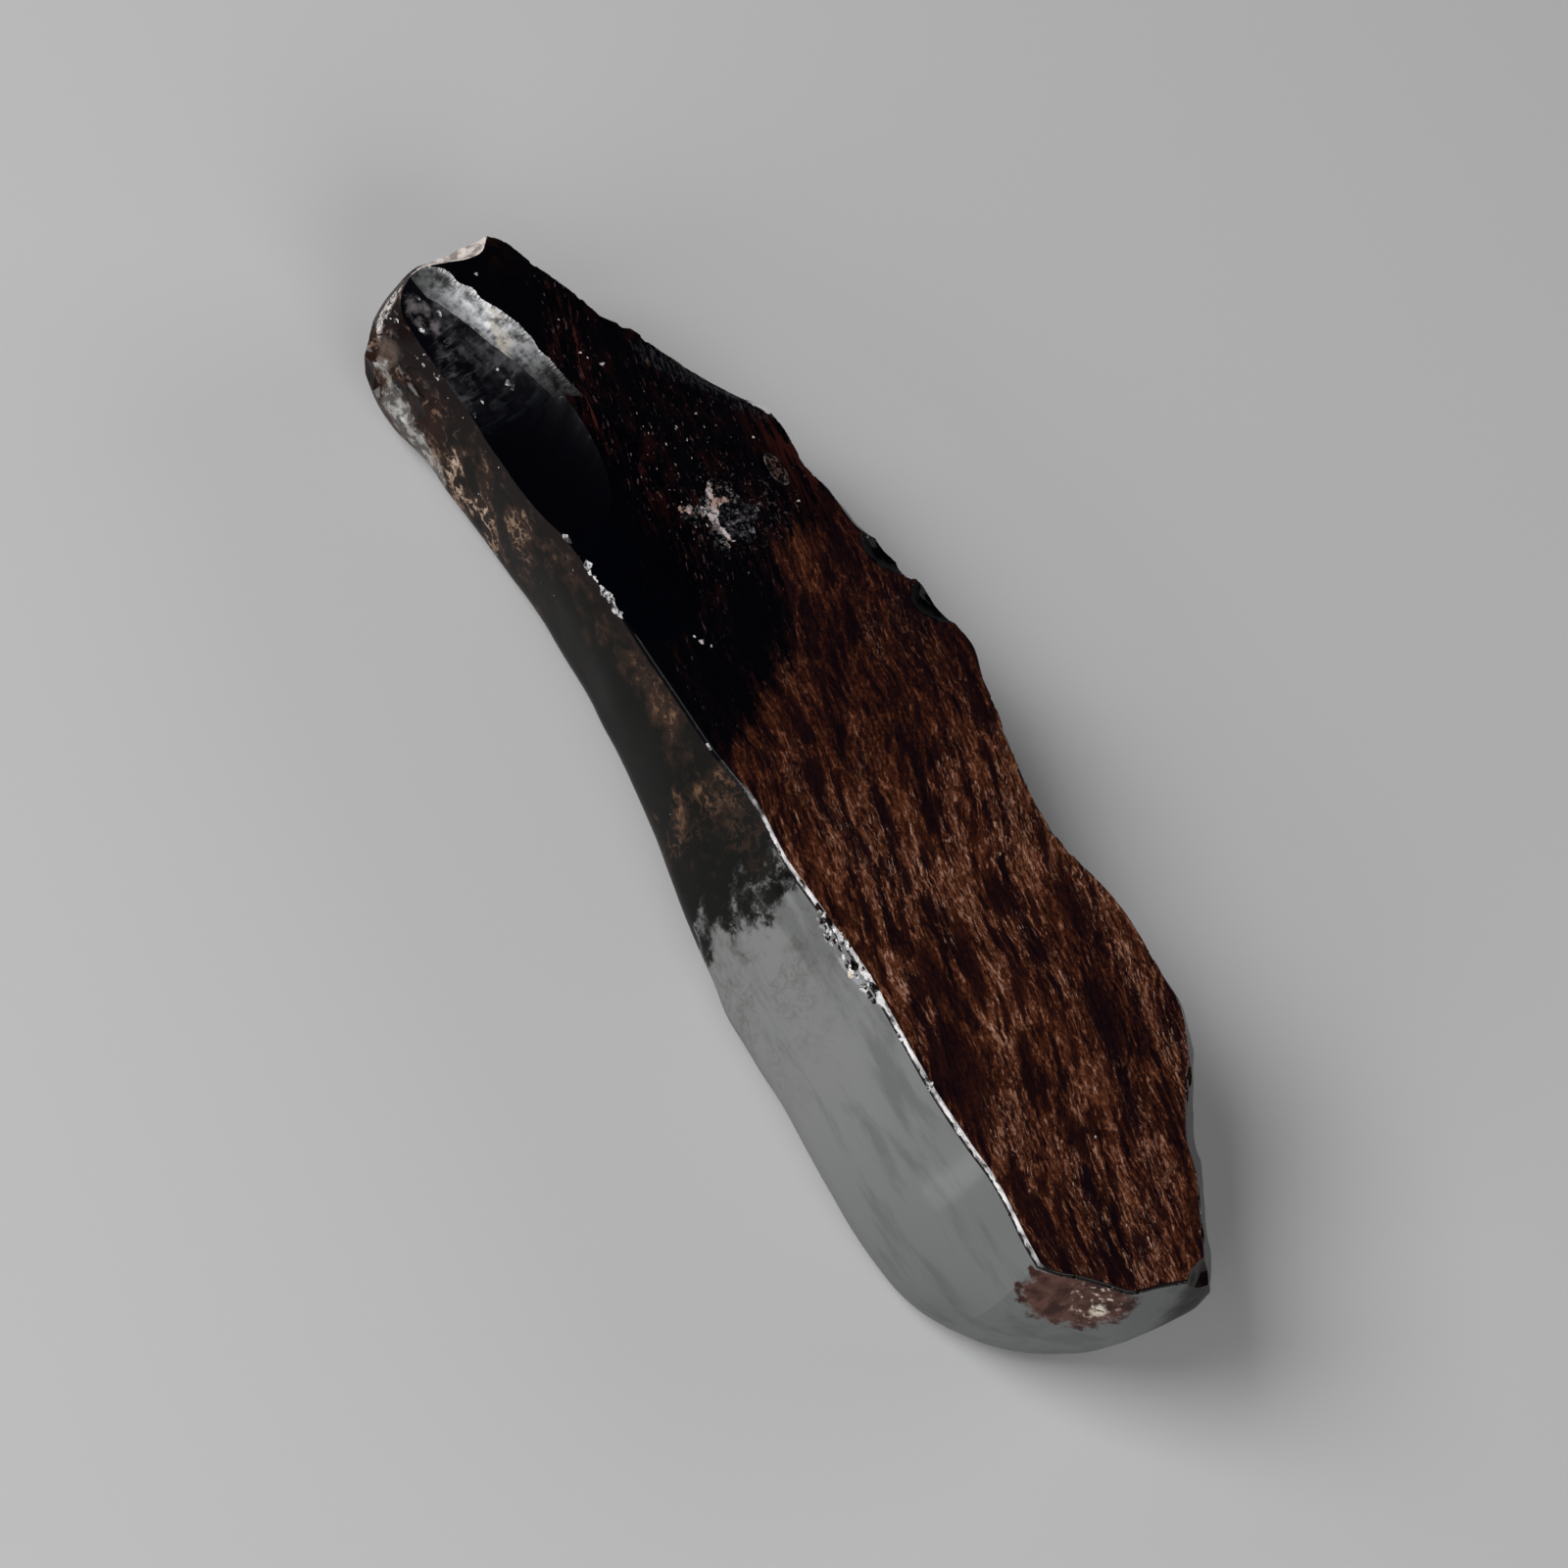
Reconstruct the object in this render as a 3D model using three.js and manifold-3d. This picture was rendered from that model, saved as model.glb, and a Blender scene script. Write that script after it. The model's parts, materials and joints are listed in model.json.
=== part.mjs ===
// A freeform slab of gold sheen obsidian, lying on its sawn back.
// Units are millimetres, +Z is up.  The stone is one piece of volcanic glass:
// a lens-flat slab with one polished face (top), a sawn flat back (bottom),
// a smooth glassy side on +Y, a rough scalloped side on -Y, a blunt rounded
// end at -X and a tapered end at +X that is chipped by shell-shaped scars.
import * as THREE from 'three';
import * as BufferGeometryUtils from 'three/addons/utils/BufferGeometryUtils.js';
import Module from 'manifold-3d';

// ---- driving dimensions -----------------------------------------------------
const FACE_HEIGHT = 21.0;        // height of the polished face at the middle
const FACE_FALL = -0.035;        // the face drops towards the tapered end, mm per mm
const EDGE_DROP = 0.55;          // height of the worn arris around the face
const EDGE_WIDTH = 0.3;          // how far that arris stands out from the face outline
const FOOT_INSET = { right: 4.6, blunt: 4.8, left: 4.2, taper: 8.5 }; // back outline inside the belly line
const SIDE_BULGE = { blunt: 1.8, taper: 0.1 };               // swell of the wall between belly and face
const POINTS = { right: 62, blunt: 14, left: 52, taper: 18 };          // points on each run of the outline
const FOOT_ROUND = [0, 28, 58];  // angles on the rounding from back to belly
const WALL_STEPS = [0, 0.3, 0.62, 0.88]; // heights on the wall between belly and arris

// Outline of the polished face, four runs met end to end: x, y.
const FACE = {
  right: [[81.2, -8.2], [79.7, -9.8], [75.7, -11.4], [71.7, -13.2], [67.7, -14.8], [65.6, -15.4], [62.2, -18.2],
    [58.2, -19.8], [54.6, -22], [50.9, -24.3], [47.3, -26.7], [45.8, -28.1], [43.6, -28.4], [39.3, -28.1],
    [37.1, -27.8], [32.8, -28.7], [28.6, -28.9], [26.5, -29.2], [22.6, -31], [18.5, -30.9], [16.8, -32.3],
    [12.5, -32.5], [8.4, -33.2], [6.2, -33.2], [2.1, -31.7], [-2.1, -30.8], [-6.3, -29.5], [-10.6, -28.6],
    [-14.8, -27.7], [-19.2, -27.5], [-23.5, -28], [-27.7, -29], [-32.1, -29.4], [-36.4, -29.2], [-40.8, -28.8],
    [-45.1, -28.4], [-49, -26.5], [-52.6, -24], [-55.9, -21.2], [-59.4, -18.7], [-63.5, -17.1], [-67.2, -14.8],
    [-70.9, -12.6], [-74.5, -10.2]],
  blunt: [[-74.5, -10.2], [-73.6, -7.4], [-72.8, -4.6], [-71.9, -1.1], [-69.9, 1], [-67.8, 3.3], [-66, 5.6], [-64.4, 7]],
  left: [[-64.4, 7], [-60.9, 6.7], [-56.9, 6.1], [-52.9, 5.8], [-48.8, 6], [-40.8, 6], [-32.8, 5.4], [-24.7, 4.8],
    [-16.7, 5.1], [-8.7, 5.4], [-0.7, 4.6], [7.3, 5.3], [15.4, 5.4], [23.4, 5.5], [31.4, 5.4], [39.4, 5.8],
    [43.4, 6.2], [47.4, 6.2], [51.4, 5.9], [55.4, 5.6], [59.4, 5.2], [63.4, 5.2], [67.4, 5.2], [71.4, 5.4], [75.4, 5.8]],
  taper: [[75.4, 5.8], [77.9, 5.3], [79.3, 3.9], [79.9, 1.3], [79.6, -1.1], [79.1, -4.1], [79.4, -6.3], [81.2, -8.2]],
};

// Widest line of the wall, the same four runs: x, y, height.
const BELLY = {
  right: [[82.2, -8.2, 15.2], [80.4, -12, 12], [75, -16, 10], [68, -20.2, 9], [60, -25, 8.5], [50, -30, 8],
    [40, -33.4, 8], [30, -35.6, 8], [20, -37.2, 8], [10, -37.4, 8], [0, -36.4, 8], [-10, -34.8, 8],
    [-20, -33.6, 8], [-30, -33.6, 8], [-40, -33.8, 8], [-50, -31.4, 8], [-58, -27.2, 7.5], [-65, -22.8, 6.8],
    [-70, -20.4, 6.2], [-73, -18.4, 5.6]],
  blunt: [[-73, -18.4, 5.6], [-74, -16.2, 5.2], [-74.2, -13.2, 5], [-74, -8.7, 5], [-73.4, -4.4, 5], [-71.9, -0.6, 5],
    [-69.6, 3.6, 5], [-66.5, 7.4, 5], [-63.1, 10.2, 5]],
  left: [[-63.1, 10.2, 5], [-59.7, 12.2, 5], [-56.3, 13.4, 5], [-52.3, 14, 5], [-47.3, 14.3, 5], [-41.4, 14.1, 5],
    [-36, 13.8, 5], [-30.4, 13.3, 5], [-25.9, 13.4, 5], [-21.3, 13.3, 5], [-17, 13.1, 5], [-12.8, 12.2, 5],
    [-8.5, 11.6, 5], [-4.6, 11, 5], [-0.1, 10.1, 5], [4.4, 9, 5], [8.9, 8.1, 5], [13.3, 7.4, 5], [17.9, 6.8, 5],
    [22.3, 6.5, 5], [26.9, 6.1, 5], [31.3, 6.1, 5], [35.9, 5.9, 5], [40.4, 6, 5], [44.9, 6.3, 5], [49.3, 6.6, 5],
    [53.8, 7, 5], [58.3, 7.5, 5], [62.9, 7.9, 5.8], [67.6, 9.5, 7], [70.9, 10.1, 8], [73.4, 10.3, 9], [75.6, 10.2, 10]],
  taper: [[75.6, 10.2, 10], [77, 9.6, 10.5], [79.2, 7.4, 11], [80.8, 5.2, 11.5], [82.1, 2.6, 12], [82.7, 1.1, 12.5],
    [83, -0.5, 13], [82.7, -2, 13.5], [82.5, -3.1, 14.2], [82.4, -5, 15], [82.2, -8.2, 15.2]],
};

// Shell-shaped scars, each cut by an ellipsoid: the point of the face it stands over,
// how far its centre is lifted square to the face, its radii and its turn in degrees.
const SCARS = [
  { name: 'long silver shell on the face', on: [62.1, 17.7], lift: 107.9, radii: [110.7, 110.7, 110.7], turn: 0 },
  { name: 'dark rippled shell beside it', on: [64.2, 9.4], lift: 26.7, radii: [62, 26.3, 30], turn: 19 },
  { name: 'wide shallow dish on the dark half', on: [41, 1.5], lift: 54.4, radii: [80, 50, 56], turn: 0 },
  { name: 'pale chip at the tip', on: [86.5, -3.5], lift: 3.5, radii: [8, 5.5, 8.5], turn: 0 },
  { name: 'crushed corner', on: [84.6, 13.4], lift: 2.2, radii: [9, 6.4, 8], turn: -40 },
  { name: 'bevel on the rough side', on: [50.6, -36.2], lift: 8.3, radii: [15, 11.4, 11], turn: 30 },
  { name: 'first scallop', on: [23.2, -34.6], lift: 3.4, radii: [5, 6.4, 5.6], turn: 0 },
  { name: 'second scallop', on: [14.2, -38.6], lift: 2.9, radii: [4.4, 6.4, 5.2], turn: 0 },
  { name: 'chip on the glassy edge', on: [30, 8.6], lift: 1.4, radii: [3.4, 2.5, 2.2], turn: 0 },
  { name: 'crushed run on the glassy edge', on: [-22.2, 8.2], lift: 1.8, radii: [8.2, 3, 2.6], turn: 3 },
  { name: 'corner facet at the blunt end', on: [-80.5, -12.6], lift: 1.6, radii: [8.5, 7.6, 6.2], turn: 20 },
];

// Flakes struck off the rough side, meeting one another at ridges: place along X,
// half length, reach, half height, height of the middle, and the bite behind the
// line of the face edge.
const FLAKES = [
  { x: 68, along: 33, across: 19, tall: 25, mid: 4, bite: 0.9 },
  { x: 47, along: 24, across: 16, tall: 17, mid: 11, bite: 0.7 },
  { x: 27, along: 36, across: 22, tall: 27, mid: 2.5, bite: 1.6 },
  { x: 3, along: 30, across: 17, tall: 20, mid: 11, bite: 0.9 },
  { x: -25, along: 44, across: 24, tall: 28, mid: 6, bite: 1.2 },
  { x: -55, along: 26, across: 20, tall: 22, mid: 5, bite: 0.8 },
  { x: 58, along: 11, across: 9, tall: 8, mid: 1, bite: 1.8 },
  { x: 37, along: 8, across: 8, tall: 7.5, mid: 1.5, bite: 0.6 },
  { x: 13, along: 13, across: 10, tall: 10, mid: -1.5, bite: 2.8 },
  { x: -9, along: 9, across: 9, tall: 9, mid: 2, bite: 0.9 },
  { x: -42, along: 14, across: 10, tall: 10, mid: 0.5, bite: 2.2 },
  { x: -64, along: 9, across: 9, tall: 8, mid: 14, bite: -0.2 },
];

// ---- the four-run outlines --------------------------------------------------
const RUNS = ['right', 'blunt', 'left', 'taper'];

const faceHeight = (x) => FACE_HEIGHT + FACE_FALL * x;

// Evenly spaced points on a smooth curve through one run, without its last point.
function spaced(points, count) {
  const curve = new THREE.CatmullRomCurve3(points, false, 'centripetal');
  curve.arcLengthDivisions = 800;
  return curve.getSpacedPoints(count).slice(0, count);
}

function outline(runs, heightOf) {
  const ring = [];
  for (const run of RUNS) {
    const points = runs[run].map((p) => new THREE.Vector3(p[0], p[1], heightOf(p)));
    for (const p of spaced(points, POINTS[run])) ring.push({ p, run });
  }
  return ring;
}

// A number for each point of the ring that eases from one run's value to the next.
function eased(ring, values, passes = 14) {
  let list = ring.map(({ run }) => values[run]);
  const n = list.length;
  for (let k = 0; k < passes; k += 1) {
    list = list.map((v, i) => (list[(i + n - 1) % n] + 2 * v + list[(i + 1) % n]) / 4);
  }
  return list;
}

// Outward direction at each point, in plan, smoothed over its neighbours.
function outward(ring, reach = 3) {
  const n = ring.length;
  return ring.map((_, i) => {
    const a = ring[(i + n - reach) % n].p;
    const b = ring[(i + reach) % n].p;
    return new THREE.Vector3(b.y - a.y, a.x - b.x, 0).normalize();
  });
}

const face = outline(FACE, (p) => faceHeight(p[0]));
const belly = outline(BELLY, (p) => p[2]);
const turnSign = THREE.ShapeUtils.area(face.map(({ p }) => new THREE.Vector2(p.x, p.y))) > 0 ? 1 : -1;
const faceOut = outward(face).map((v) => v.multiplyScalar(turnSign));
const faceOutWide = outward(face, 5).map((v) => v.multiplyScalar(turnSign));
const bellyOut = outward(belly, 4).map((v) => v.multiplyScalar(turnSign));
const inset = eased(belly, FOOT_INSET);
const bulge = belly.map(({ p }) => THREE.MathUtils.mapLinear(p.x, -75, 83, SIDE_BULGE.blunt, SIDE_BULGE.taper));
const N = face.length;

// ---- the stack of rings from the sawn back up to the polished face ----------
const rings = [];
for (const angle of FOOT_ROUND) {
  const a = THREE.MathUtils.degToRad(angle);
  rings.push(belly.map(({ p }, i) => p.clone()
    .addScaledVector(bellyOut[i], -inset[i] * (1 - Math.sin(a)))
    .setZ(p.z * (1 - Math.cos(a)))));
}
const arris = face.map(({ p }, i) => p.clone().addScaledVector(faceOut[i], EDGE_WIDTH).setZ(p.z - EDGE_DROP));
for (const w of WALL_STEPS) {
  rings.push(belly.map(({ p }, i) => p.clone().lerp(arris[i], w)
    .addScaledVector(bellyOut[i], bulge[i] * Math.sin(Math.PI * w))));
}
rings.push(arris);
rings.push(face.map(({ p }) => p.clone()));

function loft(stack) {
  const positions = [];
  for (const ring of stack) for (const p of ring) positions.push(p.x, p.y, p.z);
  const index = [];
  for (let r = 0; r + 1 < stack.length; r += 1) {
    for (let i = 0; i < N; i += 1) {
      const j = (i + 1) % N;
      const a = r * N + i;
      const b = r * N + j;
      const c = (r + 1) * N + j;
      const d = (r + 1) * N + i;
      if (turnSign > 0) index.push(a, b, c, a, c, d);
      else index.push(a, c, b, a, d, c);
    }
  }
  const cap = (ring, base, up) => {
    const flat = ring.map((p) => new THREE.Vector2(p.x, p.y));
    for (const [a, b, c] of THREE.ShapeUtils.triangulateShape(flat, [])) {
      const area = THREE.ShapeUtils.area([flat[a], flat[b], flat[c]]);
      if ((area > 0) === up) index.push(base + a, base + b, base + c);
      else index.push(base + a, base + c, base + b);
    }
  };
  cap(stack[0], 0, false);
  cap(stack[stack.length - 1], (stack.length - 1) * N, true);
  const geometry = new THREE.BufferGeometry();
  geometry.setAttribute('position', new THREE.Float32BufferAttribute(positions, 3));
  geometry.setIndex(index);
  return geometry;
}

// ---- joining and cutting ----------------------------------------------------
const wasm = await Module();
wasm.setup();

function solid(geometry) {
  const bare = geometry.clone();
  bare.deleteAttribute('normal');
  bare.deleteAttribute('uv');
  const merged = BufferGeometryUtils.mergeVertices(bare, 1e-4);
  return new wasm.Manifold(new wasm.Mesh({
    numProp: 3,
    vertProperties: new Float32Array(merged.attributes.position.array),
    triVerts: new Uint32Array(merged.index.array),
  }));
}

const faceNormal = new THREE.Vector3(-FACE_FALL, 0, 1).normalize();

function ellipsoid(radii, fine) {
  const shell = new THREE.SphereGeometry(1, fine, Math.round(fine * 0.6));
  shell.rotateX(Math.PI / 2);
  return shell.scale(...radii);
}

let stone = solid(loft(rings));
for (const { on, lift, radii, turn } of SCARS) {
  const at = new THREE.Vector3(on[0], on[1], faceHeight(on[0])).addScaledVector(faceNormal, lift);
  const shell = ellipsoid(radii, radii[0] > 40 ? 140 : 34)
    .rotateZ(THREE.MathUtils.degToRad(turn))
    .rotateY(Math.atan(-FACE_FALL))
    .translate(at.x, at.y, at.z);
  stone = stone.subtract(solid(shell));
}
for (const { x, along, across, tall, mid, bite } of FLAKES) {
  let i = 0;
  face.forEach(({ p, run }, k) => {
    if (run === 'right' && Math.abs(p.x - x) < Math.abs(face[i].p.x - x)) i = k;
  });
  const out = faceOutWide[i];
  const at = face[i].p.clone().addScaledVector(out, across - bite).setZ(mid);
  const shell = ellipsoid([along, across, tall], 46)
    .rotateZ(Math.atan2(out.y, out.x) + Math.PI / 2)
    .translate(at.x, at.y, at.z);
  stone = stone.subtract(solid(shell));
}

const cut = stone.getMesh();
let geometry = new THREE.BufferGeometry();
geometry.setAttribute('position', new THREE.Float32BufferAttribute(Array.from(cut.vertProperties), 3));
geometry.setIndex(Array.from(cut.triVerts));

// The origin is under the middle of the stone, on the surface it lies on.
geometry.computeBoundingBox();
const { min, max } = geometry.boundingBox;
geometry.translate(-(min.x + max.x) / 2, -(min.y + max.y) / 2, -min.z);
geometry = geometry.toNonIndexed();
geometry.computeVertexNormals();

const stoneMaterial = new THREE.MeshStandardMaterial({ color: 0x2b140c, roughness: 0.16, metalness: 0.0 });
const stoneMesh = new THREE.Mesh(geometry, stoneMaterial);
stoneMesh.name = 'obsidian_stone';

const group = new THREE.Group();
group.add(stoneMesh);

export default group;
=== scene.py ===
import json
import math
import bmesh
import bpy
import numpy as np
from mathutils import Matrix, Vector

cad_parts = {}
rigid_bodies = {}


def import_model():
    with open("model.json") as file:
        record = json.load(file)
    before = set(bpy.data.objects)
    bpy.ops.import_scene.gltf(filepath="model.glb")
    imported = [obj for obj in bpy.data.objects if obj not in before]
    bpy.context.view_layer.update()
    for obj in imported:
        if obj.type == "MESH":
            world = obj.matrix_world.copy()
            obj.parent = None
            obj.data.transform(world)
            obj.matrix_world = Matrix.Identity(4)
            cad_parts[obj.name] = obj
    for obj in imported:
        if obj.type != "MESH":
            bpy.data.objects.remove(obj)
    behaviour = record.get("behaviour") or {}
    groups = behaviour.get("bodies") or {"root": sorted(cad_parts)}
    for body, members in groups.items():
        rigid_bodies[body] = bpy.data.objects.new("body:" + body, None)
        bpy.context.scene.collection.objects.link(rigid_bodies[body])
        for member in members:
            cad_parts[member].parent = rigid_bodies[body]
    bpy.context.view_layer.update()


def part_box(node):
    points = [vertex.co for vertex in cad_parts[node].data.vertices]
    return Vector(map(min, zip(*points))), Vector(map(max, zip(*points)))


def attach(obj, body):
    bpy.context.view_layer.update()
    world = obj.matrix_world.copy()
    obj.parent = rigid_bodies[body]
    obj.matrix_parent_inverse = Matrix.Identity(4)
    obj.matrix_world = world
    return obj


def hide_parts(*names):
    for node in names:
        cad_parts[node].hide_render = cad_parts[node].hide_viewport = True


# A slab of gold sheen obsidian lying on its sawn back, polished face up.  One closed
# mesh stands for the CAD solid.  Sizes are in millimetres in the drawing frame of the
# part's source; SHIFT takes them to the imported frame, and the end turns them to metres.

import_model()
BOX_LO, BOX_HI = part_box("obsidian_stone")
rng = np.random.default_rng(20)

# ---------------------------------------------------------------- outlines (mm)
SHIFT = np.array([3.6563339, -10.2070909, 0.0])
FACE_HEIGHT, FACE_FALL = 21.0, -0.035
EDGE_DROP, EDGE_WIDTH = 0.55, 0.3
FOOT_INSET = {"right": 4.6, "blunt": 4.8, "left": 4.2, "taper": 8.5}
SIDE_BULGE = (1.8, 0.1)
COUNT = {"right": 62, "blunt": 14, "left": 52, "taper": 18}
FINE = 7
RUNS = ("right", "blunt", "left", "taper")
FACE = {
    "right": [[81.2, -8.2], [79.7, -9.8], [75.7, -11.4], [71.7, -13.2], [67.7, -14.8], [65.6, -15.4], [62.2, -18.2],
              [58.2, -19.8], [54.6, -22], [50.9, -24.3], [47.3, -26.7], [45.8, -28.1], [43.6, -28.4], [39.3, -28.1],
              [37.1, -27.8], [32.8, -28.7], [28.6, -28.9], [26.5, -29.2], [22.6, -31], [18.5, -30.9], [16.8, -32.3],
              [12.5, -32.5], [8.4, -33.2], [6.2, -33.2], [2.1, -31.7], [-2.1, -30.8], [-6.3, -29.5], [-10.6, -28.6],
              [-14.8, -27.7], [-19.2, -27.5], [-23.5, -28], [-27.7, -29], [-32.1, -29.4], [-36.4, -29.2], [-40.8, -28.8],
              [-45.1, -28.4], [-49, -26.5], [-52.6, -24], [-55.9, -21.2], [-59.4, -18.7], [-63.5, -17.1], [-67.2, -14.8],
              [-70.9, -12.6], [-74.5, -10.2]],
    "blunt": [[-74.5, -10.2], [-73.6, -7.4], [-72.8, -4.6], [-71.9, -1.1], [-69.9, 1], [-67.8, 3.3], [-66, 5.6], [-64.4, 7]],
    "left": [[-64.4, 7], [-60.9, 6.7], [-56.9, 6.1], [-52.9, 5.8], [-48.8, 6], [-40.8, 6], [-32.8, 5.4], [-24.7, 4.8],
             [-16.7, 5.1], [-8.7, 5.4], [-0.7, 4.6], [7.3, 5.3], [15.4, 5.4], [23.4, 5.5], [31.4, 5.4], [39.4, 5.8],
             [43.4, 6.2], [47.4, 6.2], [51.4, 5.9], [55.4, 5.6], [59.4, 5.2], [63.4, 5.2], [67.4, 5.2], [71.4, 5.4],
             [75.4, 5.8]],
    "taper": [[75.4, 5.8], [77.9, 5.3], [79.3, 3.9], [79.9, 1.3], [79.6, -1.1], [79.1, -4.1], [79.4, -6.3], [81.2, -8.2]],
}
BELLY = {
    "right": [[82.2, -8.2, 15.2], [80.4, -12, 12], [75, -16, 10], [68, -20.2, 9], [60, -25, 8.5], [50, -30, 8],
              [40, -33.4, 8], [30, -35.6, 8], [20, -37.2, 8], [10, -37.4, 8], [0, -36.4, 8], [-10, -34.8, 8],
              [-20, -33.6, 8], [-30, -33.6, 8], [-40, -33.8, 8], [-50, -31.4, 8], [-58, -27.2, 7.5], [-65, -22.8, 6.8],
              [-70, -20.4, 6.2], [-73, -18.4, 5.6]],
    "blunt": [[-73, -18.4, 5.6], [-74, -16.2, 5.2], [-74.2, -13.2, 5], [-74, -8.7, 5], [-73.4, -4.4, 5], [-71.9, -0.6, 5],
              [-69.6, 3.6, 5], [-66.5, 7.4, 5], [-63.1, 10.2, 5]],
    "left": [[-63.1, 10.2, 5], [-59.7, 12.2, 5], [-56.3, 13.4, 5], [-52.3, 14, 5], [-47.3, 14.3, 5], [-41.4, 14.1, 5],
             [-36, 13.8, 5], [-30.4, 13.3, 5], [-25.9, 13.4, 5], [-21.3, 13.3, 5], [-17, 13.1, 5], [-12.8, 12.2, 5],
             [-8.5, 11.6, 5], [-4.6, 11, 5], [-0.1, 10.1, 5], [4.4, 9, 5], [8.9, 8.1, 5], [13.3, 7.4, 5], [17.9, 6.8, 5],
             [22.3, 6.5, 5], [26.9, 6.1, 5], [31.3, 6.1, 5], [35.9, 5.9, 5], [40.4, 6, 5], [44.9, 6.3, 5], [49.3, 6.6, 5],
             [53.8, 7, 5], [58.3, 7.5, 5], [62.9, 7.9, 5.8], [67.6, 9.5, 7], [70.9, 10.1, 8], [73.4, 10.3, 9],
             [75.6, 10.2, 10]],
    "taper": [[75.6, 10.2, 10], [77, 9.6, 10.5], [79.2, 7.4, 11], [80.8, 5.2, 11.5], [82.1, 2.6, 12], [82.7, 1.1, 12.5],
              [83, -0.5, 13], [82.7, -2, 13.5], [82.5, -3.1, 14.2], [82.4, -5, 15], [82.2, -8.2, 15.2]],
}
FLAKES = [
    (68, 33, 19, 25, 4, 0.9), (47, 24, 16, 17, 11, 0.7), (27, 36, 22, 27, 2.5, 1.6), (3, 30, 17, 20, 11, 0.9),
    (-25, 44, 24, 28, 6, 1.2), (-55, 26, 20, 22, 5, 0.8), (58, 11, 9, 8, 1, 1.8), (37, 8, 8, 7.5, 1.5, 0.6),
    (13, 13, 10, 10, -1.5, 2.8), (-9, 9, 9, 9, 2, 0.9), (-42, 14, 10, 10, 0.5, 2.2), (-64, 9, 9, 8, 14, -0.2),
]

# Material slots, which are also the tags that the cutters leave on the surface.
TAGS = ["face", "wall", "rough", "back", "arris", "lens", "shell", "dish", "pit", "crush", "tip", "facet", "scallop", "blunt"]
T = {name: i for i, name in enumerate(TAGS)}
MATS = [bpy.data.materials.new("obsidian_" + name) for name in TAGS]


# ---------------------------------------------------------------- number helpers
def face_z(x):
    return FACE_HEIGHT + FACE_FALL * x


def lattice(ix, iy, iz, seed):
    h = (ix.astype(np.uint64) * np.uint64(374761393) + iy.astype(np.uint64) * np.uint64(668265263)
         + iz.astype(np.uint64) * np.uint64(2147483647) + np.uint64(seed * 144665 + 7)) & np.uint64(0xFFFFFFFF)
    h = ((h ^ (h >> np.uint64(13))) * np.uint64(1274126177)) & np.uint64(0xFFFFFFFF)
    h = ((h ^ (h >> np.uint64(16))) * np.uint64(2246822519)) & np.uint64(0xFFFFFFFF)
    h = h ^ (h >> np.uint64(15))
    return (h & np.uint64(0xFFFFFF)).astype(float) / float(0xFFFFFF) * 2 - 1


def vnoise(x, y, z, size, seed):
    """Smooth noise from -1 to 1 with features about size mm wide."""
    p = [np.asarray(c, float) / size + 1000.0 for c in np.broadcast_arrays(x, y, z)]
    i = [np.floor(c).astype(np.int64) for c in p]
    f = [c - k for c, k in zip(p, i)]
    f = [t * t * t * (t * (t * 6 - 15) + 10) for t in f]
    total = 0.0
    for dx in (0, 1):
        for dy in (0, 1):
            for dz in (0, 1):
                w = (f[0] if dx else 1 - f[0]) * (f[1] if dy else 1 - f[1]) * (f[2] if dz else 1 - f[2])
                total = total + w * lattice(i[0] + dx, i[1] + dy, i[2] + dz, seed)
    return total


def fbm(x, y, z, size, seed, octaves=3, gain=0.5):
    total, amp = 0.0, 1.0
    for k in range(octaves):
        total = total + amp * vnoise(x, y, z, size / 2 ** k, seed + 31 * k)
        amp *= gain
    return total


def smooth(lo, hi, x):
    t = np.clip((x - lo) / (hi - lo), 0, 1)
    return t * t * (3 - 2 * t)


# ---------------------------------------------------------------- the four-run outlines
def spaced(points, count):
    """Evenly spaced points on a centripetal Catmull-Rom curve, without its last point."""
    p = np.array(points, float)
    ext = np.vstack([2 * p[0] - p[1], p, 2 * p[-1] - p[-2]])
    t = np.linspace(0, 1, 60, endpoint=False)[:, None]
    out = []
    for i in range(len(p) - 1):
        p0, p1, p2, p3 = ext[i:i + 4]
        d0, d1, d2 = (max(np.linalg.norm(b - a), 1e-6) ** 0.5 for a, b in ((p0, p1), (p1, p2), (p2, p3)))
        m1 = ((p1 - p0) / d0 - (p2 - p0) / (d0 + d1) + (p2 - p1) / d1) * d1
        m2 = ((p2 - p1) / d1 - (p3 - p1) / (d1 + d2) + (p3 - p2) / d2) * d1
        out.append(p1 + m1 * t + (-3 * p1 + 3 * p2 - 2 * m1 - m2) * t ** 2 + (2 * p1 - 2 * p2 + m1 + m2) * t ** 3)
    out.append(p[-1:])
    dense = np.vstack(out)
    along = np.concatenate([[0], np.cumsum(np.linalg.norm(np.diff(dense, axis=0), axis=1))])
    want = np.linspace(0, along[-1], count + 1)[:-1]
    return np.stack([np.interp(want, along, dense[:, k]) for k in range(dense.shape[1])], 1)


def ring_of(runs, height=None):
    parts, names = [], []
    for run in RUNS:
        pts = [[q[0], q[1], height(q[0]) if height else q[2]] for q in runs[run]]
        got = spaced(pts, COUNT[run] * FINE)
        parts.append(got)
        names += [run] * len(got)
    return np.vstack(parts), np.array(names)


def outward(ring, reach):
    k = int(reach * FINE)
    d = np.roll(ring, -k, 0) - np.roll(ring, k, 0)
    n = np.stack([d[:, 1], -d[:, 0], np.zeros(len(d))], 1)
    return n / np.linalg.norm(n, axis=1)[:, None]


def blur(values, sigma):
    k = np.arange(-int(4 * sigma), int(4 * sigma) + 1)
    w = np.exp(-0.5 * (k / sigma) ** 2)
    w /= w.sum()
    return sum(wi * np.roll(values, ki) for wi, ki in zip(w, k))


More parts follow.
